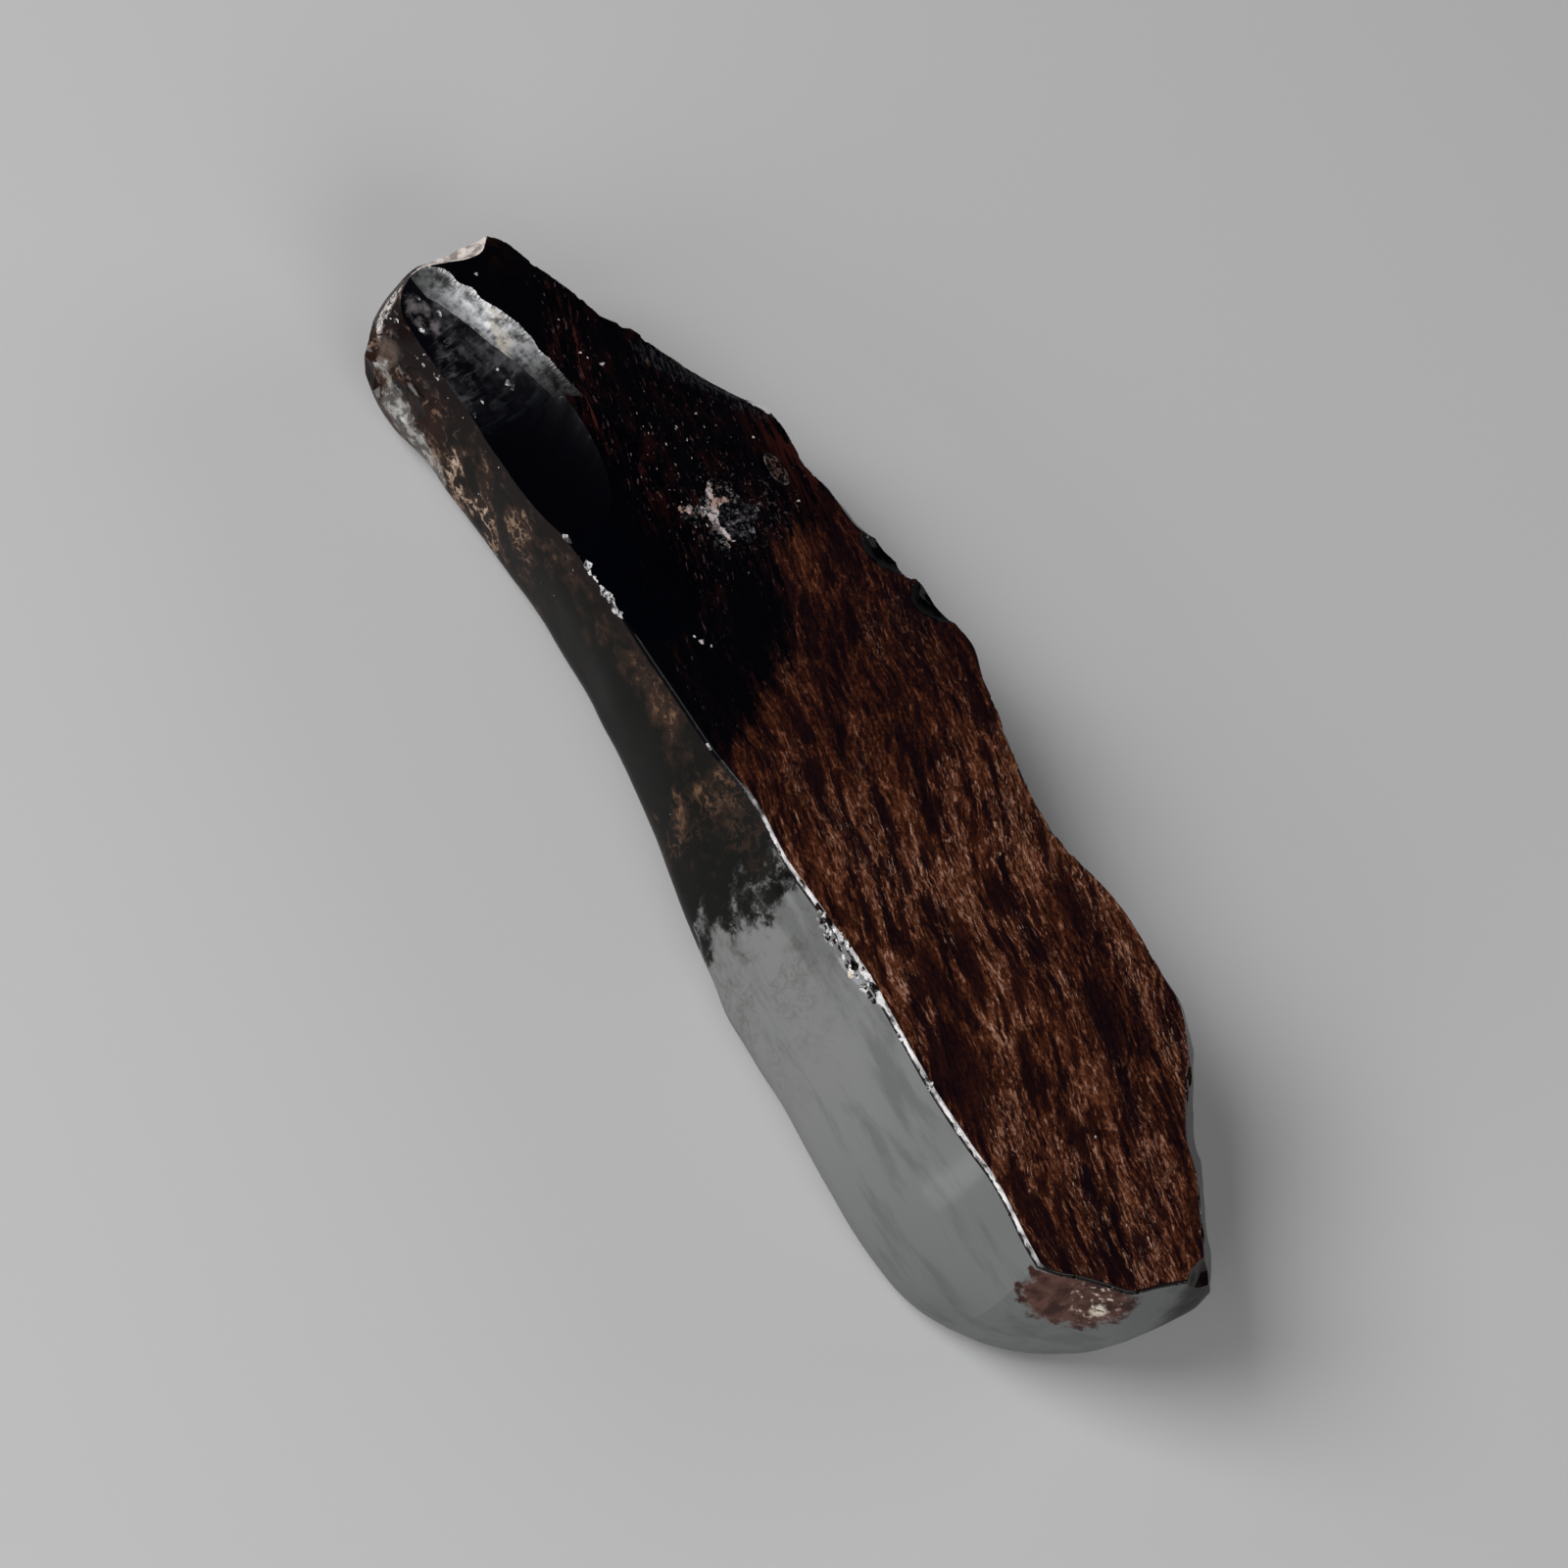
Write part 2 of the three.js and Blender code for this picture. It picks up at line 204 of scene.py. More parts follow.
face, run_of = ring_of(FACE, face_z)
belly, _ = ring_of(BELLY)
shoelace = np.sum(face[:, 0] * np.roll(face[:, 1], -1) - np.roll(face[:, 0], -1) * face[:, 1])
SIGN = 1.0 if shoelace > 0 else -1.0
face_out = outward(face, 3) * SIGN
face_out_wide = outward(face, 5) * SIGN
belly_out = outward(belly, 4) * SIGN
inset = blur(np.array([FOOT_INSET[r] for r in run_of]), 2.65 * FINE)
bulge = np.interp(belly[:, 0], [-75, 83], SIDE_BULGE)
N = len(face)

# ---------------------------------------------------------------- the body before it is chipped
rough_side = blur((run_of == "right").astype(float), 1.2 * FINE)
left_part = blur((run_of == "left").astype(float), 1.2 * FINE)


def roughen(ring, w):
    """Small relief of the broken glass, none at the back and at the polished face."""
    x, y, z = ring.T
    env = np.clip(np.minimum(z / 2.0, (face_z(x) - z) / 2.5), 0, 1)
    glassy = 0.16 * fbm(x, y, z, 13, 5, 2) + 0.035 * vnoise(x, y, z, 3.1, 9)
    broken = 0.42 * fbm(x, y, z, 8, 21, 3, 0.55)
    d = (glassy * (1 - rough_side) + broken * rough_side) * env
    return ring + belly_out * d[:, None]


rows, row_tag = [], []
for angle in (0, 9, 18, 28, 38, 48, 58, 68, 79):
    a = math.radians(angle)
    r = belly - belly_out * (inset * (1 - math.sin(a)))[:, None]
    r[:, 2] = belly[:, 2] * (1 - math.cos(a))
    rows.append(roughen(r, 0) if angle else r)
    row_tag.append("side")
arris = face + face_out * EDGE_WIDTH
arris[:, 2] = face[:, 2] - EDGE_DROP
for w in (0, 0.06, 0.12, 0.19, 0.26, 0.33, 0.4, 0.47, 0.54, 0.61, 0.68, 0.75, 0.82, 0.88, 0.93, 0.97):
    r = belly * (1 - w) + arris * w + belly_out * (bulge * math.sin(math.pi * w))[:, None]
    rows.append(roughen(r, w))
    row_tag.append("side")
# The worn arris: a rounded edge whose width wanders, with a fuller bead on the glassy side.
fx, fy = face[:, 0], face[:, 1]
wear = 1.0 + 0.30 * fbm(fx, fy, 0 * fx, 7.0, 61, 2) + 0.10 * left_part * smooth(12, 4, fx)
wear = np.clip(wear, 0.45, 1.6)
corner = face + face_out * (0.24 * wear)[:, None]
corner[:, 2] -= 0.03
inner = face - face_out * (0.16 * wear * left_part)[:, None]
inner[:, 2] = face_z(inner[:, 0])
low = arris.copy()
low[:, 2] -= 0.25 * (wear - 1) * left_part
for t in (0.0, 0.22, 0.42, 0.62, 0.82, 1.0):
    rows.append(low * (1 - t) ** 2 + corner * 2 * t * (1 - t) + inner * t ** 2)
    row_tag.append("arris")
rows[-1][:, 2] = face_z(rows[-1][:, 0])

R = len(rows)
verts = np.vstack(rows)
faces, tags = [], []
idx = np.arange(N)
nxt = (idx + 1) % N
for r in range(R - 1):
    a, b = r * N + idx, r * N + nxt
    c, d = (r + 1) * N + nxt, (r + 1) * N + idx
    quad = np.stack([a, b, c, d] if SIGN > 0 else [a, d, c, b], 1)
    faces += quad.tolist()
    if row_tag[r] == "arris":
        tags += [T["arris"]] * N
    else:
        tags += [T["rough"] if run_of[i] == "right" else T["blunt"] if run_of[i] == "blunt" else T["wall"] for i in idx]
top = ((R - 1) * N + idx).tolist()
bottom = idx.tolist()
faces.append(top if SIGN > 0 else top[::-1])
tags.append(T["face"])
faces.append(bottom[::-1] if SIGN > 0 else bottom)
tags.append(T["back"])


def make_object(name, v, f, tag):
    me = bpy.data.meshes.new(name)
    me.from_pydata([tuple(p) for p in v], [], f)
    for m in MATS:
        me.materials.append(m)
    me.polygons.foreach_set("material_index", np.array(tag if hasattr(tag, "__len__") else [tag] * len(f), np.int32))
    me.update()
    return bpy.data.objects.new(name, me)


body = make_object("body", verts, faces, tags)
bpy.context.scene.collection.objects.link(body)

# ---------------------------------------------------------------- cutters
cutters = bpy.data.collections.new("cutters")
bpy.context.scene.collection.children.link(cutters)
NORMAL = np.array([-FACE_FALL, 0, 1.0]) / math.hypot(FACE_FALL, 1)
_ico = {}


def ico(level):
    if level not in _ico:
        bm = bmesh.new()
        bmesh.ops.create_icosphere(bm, subdivisions=level, radius=1.0)
        bm.verts.ensure_lookup_table()
        _ico[level] = (np.array([v.co[:] for v in bm.verts]), [[v.index for v in f.verts] for f in bm.faces])
        bm.free()
    return _ico[level]


def rot_z(a):
    return np.array([[math.cos(a), -math.sin(a), 0], [math.sin(a), math.cos(a), 0], [0, 0, 1]])


def rot_y(a):
    return np.array([[math.cos(a), 0, math.sin(a)], [0, 1, 0], [-math.sin(a), 0, math.cos(a)]])


def rot_x(a):
    return np.array([[1, 0, 0], [0, math.cos(a), -math.sin(a)], [0, math.sin(a), math.cos(a)]])


def add_cutter(v, f, tag):
    cutters.objects.link(make_object(f"cut_{len(cutters.objects):03d}", v, f, T[tag]))


def shell(at, radii, turn, tag, level=5, relief=None, tilt=(0.0, 0.0)):
    """An ellipsoid cutter, its surface moved along its normal by relief(points) mm."""
    unit, f = ico(level)
    m = rot_z(turn) @ rot_y(tilt[1]) @ rot_x(tilt[0])
    v = (unit * radii) @ m.T + at
    if relief is not None:
        n = (unit / radii)
        n = (n / np.linalg.norm(n, axis=1)[:, None]) @ m.T
        v = v + n * relief(v)[:, None]
    add_cutter(v, f, tag)


def chip(at, size, tag, seed, squash=(1.0, 1.0, 1.0), level=2, rough=0.18, turn=0.0, tilt=(0.0, 0.0)):
    """A small bite with an uneven, partly faceted surface."""
    radii = np.array(squash) * size

    def relief(v):
        q = (v - at) / size
        return size * rough * fbm(q[:, 0], q[:, 1], q[:, 2], 0.8, seed, 2, 0.6)
    shell(np.array(at), radii, turn, tag, level, relief, tilt)


def shard(at, size, tag, seed, squash=(1.0, 1.0, 1.0), count=11):
    """A bite with flat faces: the hull of a few points on a ball."""
    r = np.random.default_rng(seed)
    d = r.normal(size=(count, 3))
    d = d / np.linalg.norm(d, axis=1)[:, None] * r.uniform(0.85, 1.1, (count, 1)) * np.array(squash) * size + np.array(at)
    bm = bmesh.new()
    for q in d:
        bm.verts.new(q)
    got = bmesh.ops.convex_hull(bm, input=bm.verts)
    bmesh.ops.delete(bm, geom=list({v for v in got["geom_interior"] + got["geom_unused"] if isinstance(v, bmesh.types.BMVert)}), context="VERTS")
    bm.verts.ensure_lookup_table()
    bm.verts.index_update()
    bmesh.ops.recalc_face_normals(bm, faces=bm.faces)
    add_cutter(np.array([v.co[:] for v in bm.verts]), [[v.index for v in f.verts] for f in bm.faces], tag)
    bm.free()


def on_face(x, y, lift=0.0):
    return np.array([x, y, face_z(x)]) + NORMAL * lift


def patch(centre, turn, length, width, step, height, tag, top=12.0):
    """A cutter whose underside is height(X, Y) above the face plane, over a turned rectangle."""
    nx, ny = max(3, int(length / step)), max(3, int(width / step))
    gx, gy = np.meshgrid(np.linspace(-length / 2, length / 2, nx), np.linspace(-width / 2, width / 2, ny), indexing="ij")
    c, s = math.cos(turn), math.sin(turn)
    x, y = centre[0] + gx * c - gy * s, centre[1] + gx * s + gy * c
    z = face_z(x) + height(x, y)
    low = np.stack([x.ravel(), y.ravel(), z.ravel()], 1)
    i = np.arange(nx * ny).reshape(nx, ny)
    a, b, c2, d = i[:-1, :-1].ravel(), i[1:, :-1].ravel(), i[1:, 1:].ravel(), i[:-1, 1:].ravel()
    f = np.concatenate([np.stack([a, c2, b], 1), np.stack([a, d, c2], 1)]).tolist()
    loop = np.concatenate([i[:, 0], i[-1, 1:], i[-2::-1, -1], i[0, -2:0:-1]])
    high = low[loop].copy()
    high[:, 2] = FACE_HEIGHT + top
    base, m = len(low), len(loop)
    for k in range(m):
        j = (k + 1) % m
        f.append([int(loop[k]), int(loop[j]), base + j, base + k])
    f.append([base + k for k in range(m)])
    add_cutter(np.vstack([low, high]), f, tag)


def bowl(on, lift, radii, turn):
    """Height above the face plane of the underside of an ellipsoid standing over it."""
    c, s = math.cos(turn), math.sin(turn)

    def height(x, y):
        dx, dy = x - on[0], y - on[1]
        u, v = (dx * c + dy * s) / radii[0], (-dx * s + dy * c) / radii[1]
        q = np.clip(u * u + v * v, 0, 0.998)
        return lift - radii[2] * np.sqrt(1 - q)
    return height


# The long silver shell: a very shallow bowl whose outer rim is serrated by fine hackles.
RIM = spaced([(83.0, 9.5), (81.6, 5.5), (80.6, 2.4), (79.4, 0.2), (78.2, -0.7), (76.7, -1.05), (75.1, -1.95), (73.2, -2.75), (71.7, -3.5),
              (70.2, -4.2), (68.6, -4.75), (66.5, -5.15), (63.9, -5.55), (61.2, -5.95), (58.6, -6.25), (56.3, -6.65), (52.0, -7.0), (46.0, -7.0)], 400)
RIM_S = np.concatenate([[0], np.cumsum(np.linalg.norm(np.diff(RIM, axis=0), axis=1))])


def rim_coords(x, y):
    """Distance along the rim of the lens, and inward from it, of points on the face."""
    p = np.stack([np.ravel(x), np.ravel(y)], 1)
    s, t = np.empty(len(p)), np.empty(len(p))
    d = np.gradient(RIM, axis=0)
    d /= np.linalg.norm(d, axis=1)[:, None]
    inward = np.stack([d[:, 1], -d[:, 0]], 1)
    if inward[200, 1] < 0:
        inward = -inward
    for a in range(0, len(p), 4000):
        q = p[a:a + 4000]
        gap = q[:, None, :] - RIM[None]
        k = np.argmin((gap ** 2).sum(2), 1)
        g = q - RIM[k]
        s[a:a + 4000] = RIM_S[k] + (g * d[k]).sum(1)
        t[a:a + 4000] = np.sign((g * inward[k]).sum(1)) * np.hypot(g[:, 0], g[:, 1])
    return s.reshape(np.shape(x)), t.reshape(np.shape(x))


def lens_height(x, y):
    s, t = rim_coords(x, y)
    teeth = 0.11 * (abs(vnoise(s, 0 * s, 0 * s, 0.36, 3)) - 0.3) + 0.30 * vnoise(s, 0 * s, 0 * s, 1.9, 4)
    t = t - teeth * np.exp(-np.clip(t, 0, 9) / 0.4)
    rim = np.exp(-np.clip(t, 0, 9) / 0.40)
    comb = vnoise(s, 0 * s, 0.25 * t, 0.30, 3)
    swell = 0.022 * vnoise(x, y, 0 * x, 3.4, 8) + 0.010 * vnoise(s * 0.35, 0 * s, t, 0.9, 12)
    return -(0.215 * t - 0.0050 * t * abs(t)) + 0.016 * rim * comb + swell * smooth(0, 3, t)


# Its end is a short straight step; the patch stops there.
lens_end = math.atan2(-0.4, 0.917)
ux, uy = np.array([math.cos(lens_end), math.sin(lens_end)]), np.array([-math.sin(lens_end), math.cos(lens_end)])
corner_at = np.array([56.25, -6.6]) - uy * 3.2
patch(corner_at + ux * 15.5 + uy * 14.0, lens_end, 31.0, 28.0, 0.19, lens_height, "lens")

# The dark rippled shell: ripples spread from the blow at the tip and die away.
STRIKE = np.array([83.0, 7.0])
shell_bowl = bowl((64.2, 9.4), 26.7, (62, 26.3, 30), math.radians(19))


def shell_height(x, y):
    d = np.hypot(x - STRIKE[0], y - STRIKE[1]) + 0.5 * vnoise(x, y, 0 * x, 3.2, 41)
    amp = 0.010 * smooth(6, 12, d) * (1 - smooth(17, 25, d)) + 0.004 * smooth(18, 26, d) * (1 - smooth(30, 46, d))
    near = vnoise(x, y, 0 * x, 2.0, 44)
    step = 0.30 * smooth(0.1, 0.5, vnoise(x, y, 0 * x, 2.6, 46)) * (1 - smooth(5, 13, d))
    side = vnoise(np.hypot(x - 70, y - 14), 0 * x, 0 * x, 0.55, 48) * 0.014
    return shell_bowl(x, y) + amp * np.sin(2 * math.pi * d / 1.55 + 1.2 * near) * (0.7 + 0.5 * near) + side - step


patch((62.0, 2.0), math.radians(8), 44, 26, 0.24, shell_height, "shell")

dish_bowl = bowl((41, 1.5), 55.45, (135.7, 85, 56), 0)


def dish_height(x, y):
    d = np.hypot(x - STRIKE[0], y - STRIKE[1])
    fade = 1 - smooth(26, 50, d)
    return dish_bowl(x, y) + 0.005 * fade * np.sin(2 * math.pi * d / 2.3 + vnoise(x, y, 0 * x, 4, 51)) \
        + 0.03 * vnoise(x, y, 0 * x, 9.0, 52)


patch((41.0, 0.5), 0, 42, 28, 0.5, dish_height, "dish")

# A lit step where the shells meet at the end of the lens, and the nick beside the crease.
for k, (x, y, z, q) in enumerate([(61.5, -0.3, 17.2, 0.62), (62.3, 0.1, 17.2, 0.5), (64.3, 0.2, 17.3, 0.34), (76.7, 4.4, 17.2, 0.28), (74.0, 3.3, 17.1, 0.42),
                                  (73.5, 5.0, 16.5, 0.42), (73.0, 5.8, 16.2, 0.42), (61.3, 3.8, 16.0, 0.22), (60.4, 5.6, 15.8, 0.30)]):
    for j in range(2):
        shard(np.array([x, y, z]) + rng.normal(0, 0.3 * q, 3), q * rng.uniform(0.8, 1.15), "crush", 300 + 3 * k + j, (1.5, 0.9, 0.6))

# The crushed pit on the dark half.
PIT = np.array([34.6, -14.4])


def pit_height(x, y):
    u = (x - PIT[0]) * 0.958 - (y - PIT[1]) * 0.287
    v = (x - PIT[0]) * 0.287 + (y - PIT[1]) * 0.958
    d = np.sqrt((u / 3.9) ** 2 + (v / 3.6) ** 2) + 0.34 * fbm(x, y, 0 * x, 2.6, 71, 3)
    arm = np.sqrt(((u + 3.2) / 3.6) ** 2 + ((v - 1.8) / 1.0) ** 2) + 0.3 * fbm(x, y, 0 * x, 1.3, 73, 2)
    tail = np.sqrt(((u - 0.4) / 1.6) ** 2 + ((v - 4.6) / 1.8) ** 2) + 0.4 * fbm(x, y, 0 * x, 1.3, 74, 2)
    depth = np.maximum.reduce([0.50 * (1 - d), 0.42 * (1 - arm), 0.34 * (1 - tail)])
    grain = 0.14 * fbm(x, y, 0 * x, 0.75, 75, 3, 0.6)
    return -np.clip(depth, -0.6, 0.5) + grain * smooth(-0.02, 0.12, depth) + 0.12 * (depth < -0.02)


patch(PIT, 0, 15, 15, 0.125, pit_height, "pit")
# The oval ring scar near the rough side: a thin groove round a shallow bowl.


def ring_height(x, y):
    u = ((x - 37.9) * 0.9994 + (y + 24.2) * -0.035) / 2.5
    v = ((x - 37.9) * 0.035 + (y + 24.2) * 0.9994) / 1.05
    d = np.hypot(u, v) + 0.14 * fbm(x, y, 0 * x, 1.3, 81, 2)
    groove = 0.12 * np.exp(-((d - 0.93) / 0.10) ** 2) * (0.6 + 0.7 * vnoise(x, y, 0 * x, 1.0, 84))
    inside = 0.12 * (1 - smooth(0.5, 1.0, d)) * (0.7 + 0.5 * vnoise(x, y, 0 * x, 0.6, 82))
    return 0.035 - groove - inside


patch((37.9, -24.2), math.radians(-2), 6.6, 3.8, 0.085, ring_height, "scallop")

# Tip: pale chip, crushed corner, small facets.


def fine_relief(seed, amp, size, octaves=3):
    return lambda v: amp * fbm(v[:, 0], v[:, 1], v[:, 2], size, seed, octaves, 0.55)


def ripples(strike, amp, wave, seed):
    def relief(v):
        d = np.linalg.norm(v - strike, axis=1)
        n = vnoise(v[:, 0], v[:, 1], v[:, 2], 7.0, seed)
        fade = np.exp(-d / 26)
        return amp * fade * np.sin(2 * math.pi * (d + 0.9 * n) / (wave * (1 + d / 60))) * (0.6 + 0.6 * n) \
            + 0.10 * fbm(v[:, 0], v[:, 1], v[:, 2], 5.0, seed + 3, 3) + 0.03 * vnoise(v[:, 0], v[:, 1], v[:, 2], 0.9, seed + 9)
    return relief


def scar(on, lift, radii, turn, tag, level, relief):
    shell(on_face(on[0], on[1], lift), np.array(radii, float), math.radians(turn), tag, level, relief)


scar((86.5, -3.5), 3.5, (8, 5.5, 8.5), 0, "tip", 5, fine_relief(91, 0.22, 1.6))
scar((84.6, 13.4), 2.2, (9, 6.4, 8), -40, "facet", 5, fine_relief(92, 0.3, 2.2))
scar((52.9, -25.4), 4.7, (12, 5, 6), 37, "scallop", 6, ripples(np.array([58.0, -20.0, 19.0]), 0.06, 1.2, 93))
scar((23.0, -34.3), 3.2, (6.4, 7.4, 6.0), 0, "scallop", 6, ripples(np.array([24.0, -30.0, 20.0]), 0.06, 1.3, 94))
scar((13.9, -36.2), 3.0, (5.3, 8.0, 5.5), 0, "scallop", 6, ripples(np.array([14.0, -32.0, 20.0]), 0.06, 1.3, 95))
scar((3.6, -38.2), 2.6, (3.6, 6.4, 4.6), 0, "scallop", 5, fine_relief(99, 0.10, 1.5))
scar((30, 8.6), 1.4, (3.4, 2.5, 2.2), 0, "crush", 5, fine_relief(96, 0.22, 0.9))
scar((-22.2, 8.2), 1.8, (8.2, 3, 2.6), 3, "crush", 5, fine_relief(97, 0.35, 1.1))
scar((-80.5, -12.6), 1.6, (8.5, 7.6, 6.2), 20, "facet", 5, fine_relief(98, 0.18, 2.0))

right = np.where(run_of == "right")[0]
for k, (x, along, across, tall, mid, bite) in enumerate(FLAKES):
    i = right[np.argmin(abs(face[right, 0] - x))]
    out = face_out_wide[i]
    at = face[i] + out * (across - bite)
    at[2] = mid
    hit = face[i].copy()
    hit[0] += along * 0.2 * (-1) ** k
    shell(at, np.array([along, across, tall], float), math.atan2(out[1], out[0]) + math.pi / 2, "rough",
          6 if along > 20 else 5, ripples(hit, 0.10, 2.6, 110 + k))

# Facets and broken glass down the glassy side near the tip.
left_i = np.where(run_of == "left")[0]


def left_at(x):
    return left_i[np.argmin(abs(face[left_i, 0] - x))]


for k, (x, h, size, deep) in enumerate([(77.6, 0.62, 3.0, 0.34), (75.6, 0.28, 3.6, 0.42), (73.4, 0.72, 3.4, 0.30), (72.0, 0.34, 3.2, 0.32), (70.0, 0.80, 2.6, 0.26),
                                        (68.4, 0.42, 3.8, 0.34), (66.2, 0.78, 3.0, 0.24), (64.6, 0.50, 2.6, 0.20), (78.6, 0.25, 2.6, 0.30), (74.4, 0.98, 2.0, 0.26)]):
    f = np.clip((x - 60) / 18, 0, 1)
    at = np.array([x, 0.0, 0.0])
    at[2] = 15.9 - 0.16 * (x - 64) - (9.5 + 2.0 * f) * (1 - h)
    at[1] = np.interp(x, [60, 64, 68, 72, 75, 77, 79.5], [6.3, 7.0, 7.6, 8.4, 8.8, 8.0, 6.2]) + np.interp(h, [0, 0.5, 1.0], [1.1, 0.9, -0.4])
    n = np.array([np.interp(x, [60, 72, 76, 80], [-0.15, -0.15, 0.2, 0.75]), 0.9, np.interp(h, [0, 0.5, 1.0], [-0.1, 0.35, 0.75])]) + rng.normal(0, 0.10, 3)
    n = n / np.linalg.norm(n)
    radii = size * np.array([1.5, 0.85, 1.1]) * rng.uniform(0.8, 1.25, 3)
    reach = 1 / math.sqrt(float(((n / radii) ** 2).sum()))
    shell(at + n * (reach - deep), radii, rng.uniform(-0.4, 0.4), "facet" if k % 3 else "wall", 4,
          lambda v, k=k: 0.28 * fbm(v[:, 0], v[:, 1], v[:, 2], 2.6, 400 + k, 3, 0.5), (rng.uniform(-0.5, 0.5), rng.uniform(-0.5, 0.5)))
# Crushed white glass on the corner of the tip and along the ridge below it.
RIMLINE = [(79.3, 5.5, 15.6), (78.2, 7.2, 14.0), (77.0, 8.6, 12.2), (76.0, 9.7, 10.4), (74.6, 10.0, 8.6)]
for k in range(60):
    f = rng.uniform(0, 3.2)
    a, b = np.array(RIMLINE[int(f)]), np.array(RIMLINE[int(f) + 1])
    at = a + (b - a) * (f - int(f)) + rng.normal(0, 0.30, 3)
    shard(at, rng.uniform(0.22, 0.50), "crush", 450 + k, (1.2, 0.9, 0.7))
for k in range(9):
    at = np.array([76.4, 7.3, 15.4]) + rng.normal(0, 1, 3) * np.array([1.0, 0.35, 0.35])
    shard(at, rng.uniform(0.22, 0.5), "crush", 2450 + k, (1.2, 0.9, 0.7))
for k, (x, y, z, q) in enumerate([(71.4, 7.5, 14.5, 0.5), (70.2, 6.9, 15.5, 0.3), (69.4, 7.3, 14.4, 0.42), (67.9, 7.0, 14.8, 0.62), (67.2, 6.9, 15.0, 0.5), (66.7, 6.8, 15.0, 0.42),
                                  (64.5, 6.8, 14.3, 0.42), (75.0, 10.0, 9.7, 0.5), (75.3, 10.1, 10.2, 0.4), (59.5, 6.2, 16.6, 0.25)]):
    for j in range(3):
        shard(np.array([x, y, z]) + rng.normal(0, 0.30 * q + 0.1, 3), q * rng.uniform(0.45, 0.75), "crush", 500 + 3 * k + j)

# Small bites along the edges of the face: fewer and finer on the glassy side.
for k, x in enumerate(np.sort(rng.uniform(-62, 74, 90))):
    i = left_at(x)
    s = float(np.clip(rng.lognormal(-1.70, 0.5), 0.08, 0.60))
    if 8 < x < 30:
        s *= 0.7
    at = face[i] + face_out[i] * (0.25 + 0.30 * s) + np.array([0, 0, -0.25 + 0.35 * rng.uniform(-0.4, 0.8)])
    chip(at, s, "arris" if s < 0.35 else "crush", 500 + k, (1.7, 0.8, 0.8), 2, 0.25, math.atan2(face_out[i][1], face_out[i][0]) - math.pi / 2)
for k in range(96):
    x = rng.uniform(-28.8, -15.6)
    i = left_at(x)
    w = rng.uniform(0, 1) * np.interp(x, [-29, -27, -22, -18, -15.5], [0.30, 0.62, 0.72, 0.60, 0.25])
    s = rng.uniform(0.30, 0.85)
    at = np.array([x, face[i, 1] - 0.1, face[i, 2] + 0.1]) + w * np.array([0, 1.75, -2.3]) + np.array([0, 0.81, 0.59]) * 0.35 * s
    shard(at, s, "crush" if k % 5 < 3 else "facet", 700 + k, (1.4, 0.9, 0.8))
for k, (x, s) in enumerate([(39.6, 0.75), (36.9, 0.5), (35.0, 0.8), (33.6, 0.6), (31.4, 0.9), (30.0, 1.0), (28.8, 0.8), (27.6, 0.6), (43.5, 0.4), (47.6, 0.35), (52.0, 0.3), (-40.2, 0.85), (-33.5, 0.4)]):
    i = left_at(x)
    for j in range(3):
        shard(face[i] + face_out[i] * 0.35 + np.array([0, 0, -0.3]) + rng.normal(0, 0.3 * s, 3), s * rng.uniform(0.7, 1.0), "crush", 780 + 5 * k + j, (1.3, 0.9, 0.9))
for k, x in enumerate(np.sort(rng.uniform(-72, 80, 150))):
    i = right[np.argmin(abs(face[right, 0] - x))]
    s = float(np.clip(rng.lognormal(-0.75, 0.55), 0.15, 1.5))
    at = face[i] + face_out[i] * (0.15 + 0.55 * s) + np.array([0, 0, -0.15 - 0.5 * s * rng.uniform(0, 1)])
    chip(at, s, "rough", 800 + k, (1.6, 0.9, 0.9), 2 if s < 0.6 else 3, 0.22, math.atan2(face_out[i][1], face_out[i][0]) - math.pi / 2)
ends = np.where((run_of == "taper") | (run_of == "blunt"))[0]
for k in range(60):
    i = rng.choice(ends)
    if face[i, 0] > 70 and face[i, 1] > -11:
        continue
    s = float(np.clip(rng.lognormal(-1.5, 0.4), 0.10, 0.45))
    at = face[i] + face_out[i] * (0.2 + 0.5 * s) + np.array([0, 0, -0.2 - 0.5 * s * rng.uniform(0, 1)])
    chip(at, s, "facet", 1000 + k, (1.4, 0.9, 0.9), 2 if s < 0.6 else 3, 0.22, rng.uniform(0, 3))
# The sawn back keeps small break-outs round its rim.
for k in range(70):
    i = rng.integers(0, N)
    s = float(np.clip(rng.lognormal(-0.6, 0.5), 0.2, 1.5))
    at = rows[0][i] + belly_out[i] * 0.45 * s + np.array([0, 0, -0.35 * s])
    chip(at, s, "rough", 1100 + k, (1.7, 1.0, 0.8), 2 if s < 0.7 else 3, 0.25, math.atan2(belly_out[i][1], belly_out[i][0]) - math.pi / 2)

mod = body.modifiers.new("cut", "BOOLEAN")
mod.operation, mod.solver, mod.operand_type, mod.collection = "DIFFERENCE", "MANIFOLD", "COLLECTION", cutters
dg = bpy.context.evaluated_depsgraph_get()
mesh = bpy.data.meshes.new_from_object(body.evaluated_get(dg), depsgraph=dg)
bpy.data.objects.remove(body)
for o in list(cutters.objects):
    bpy.data.objects.remove(o)
bpy.data.collections.remove(cutters)

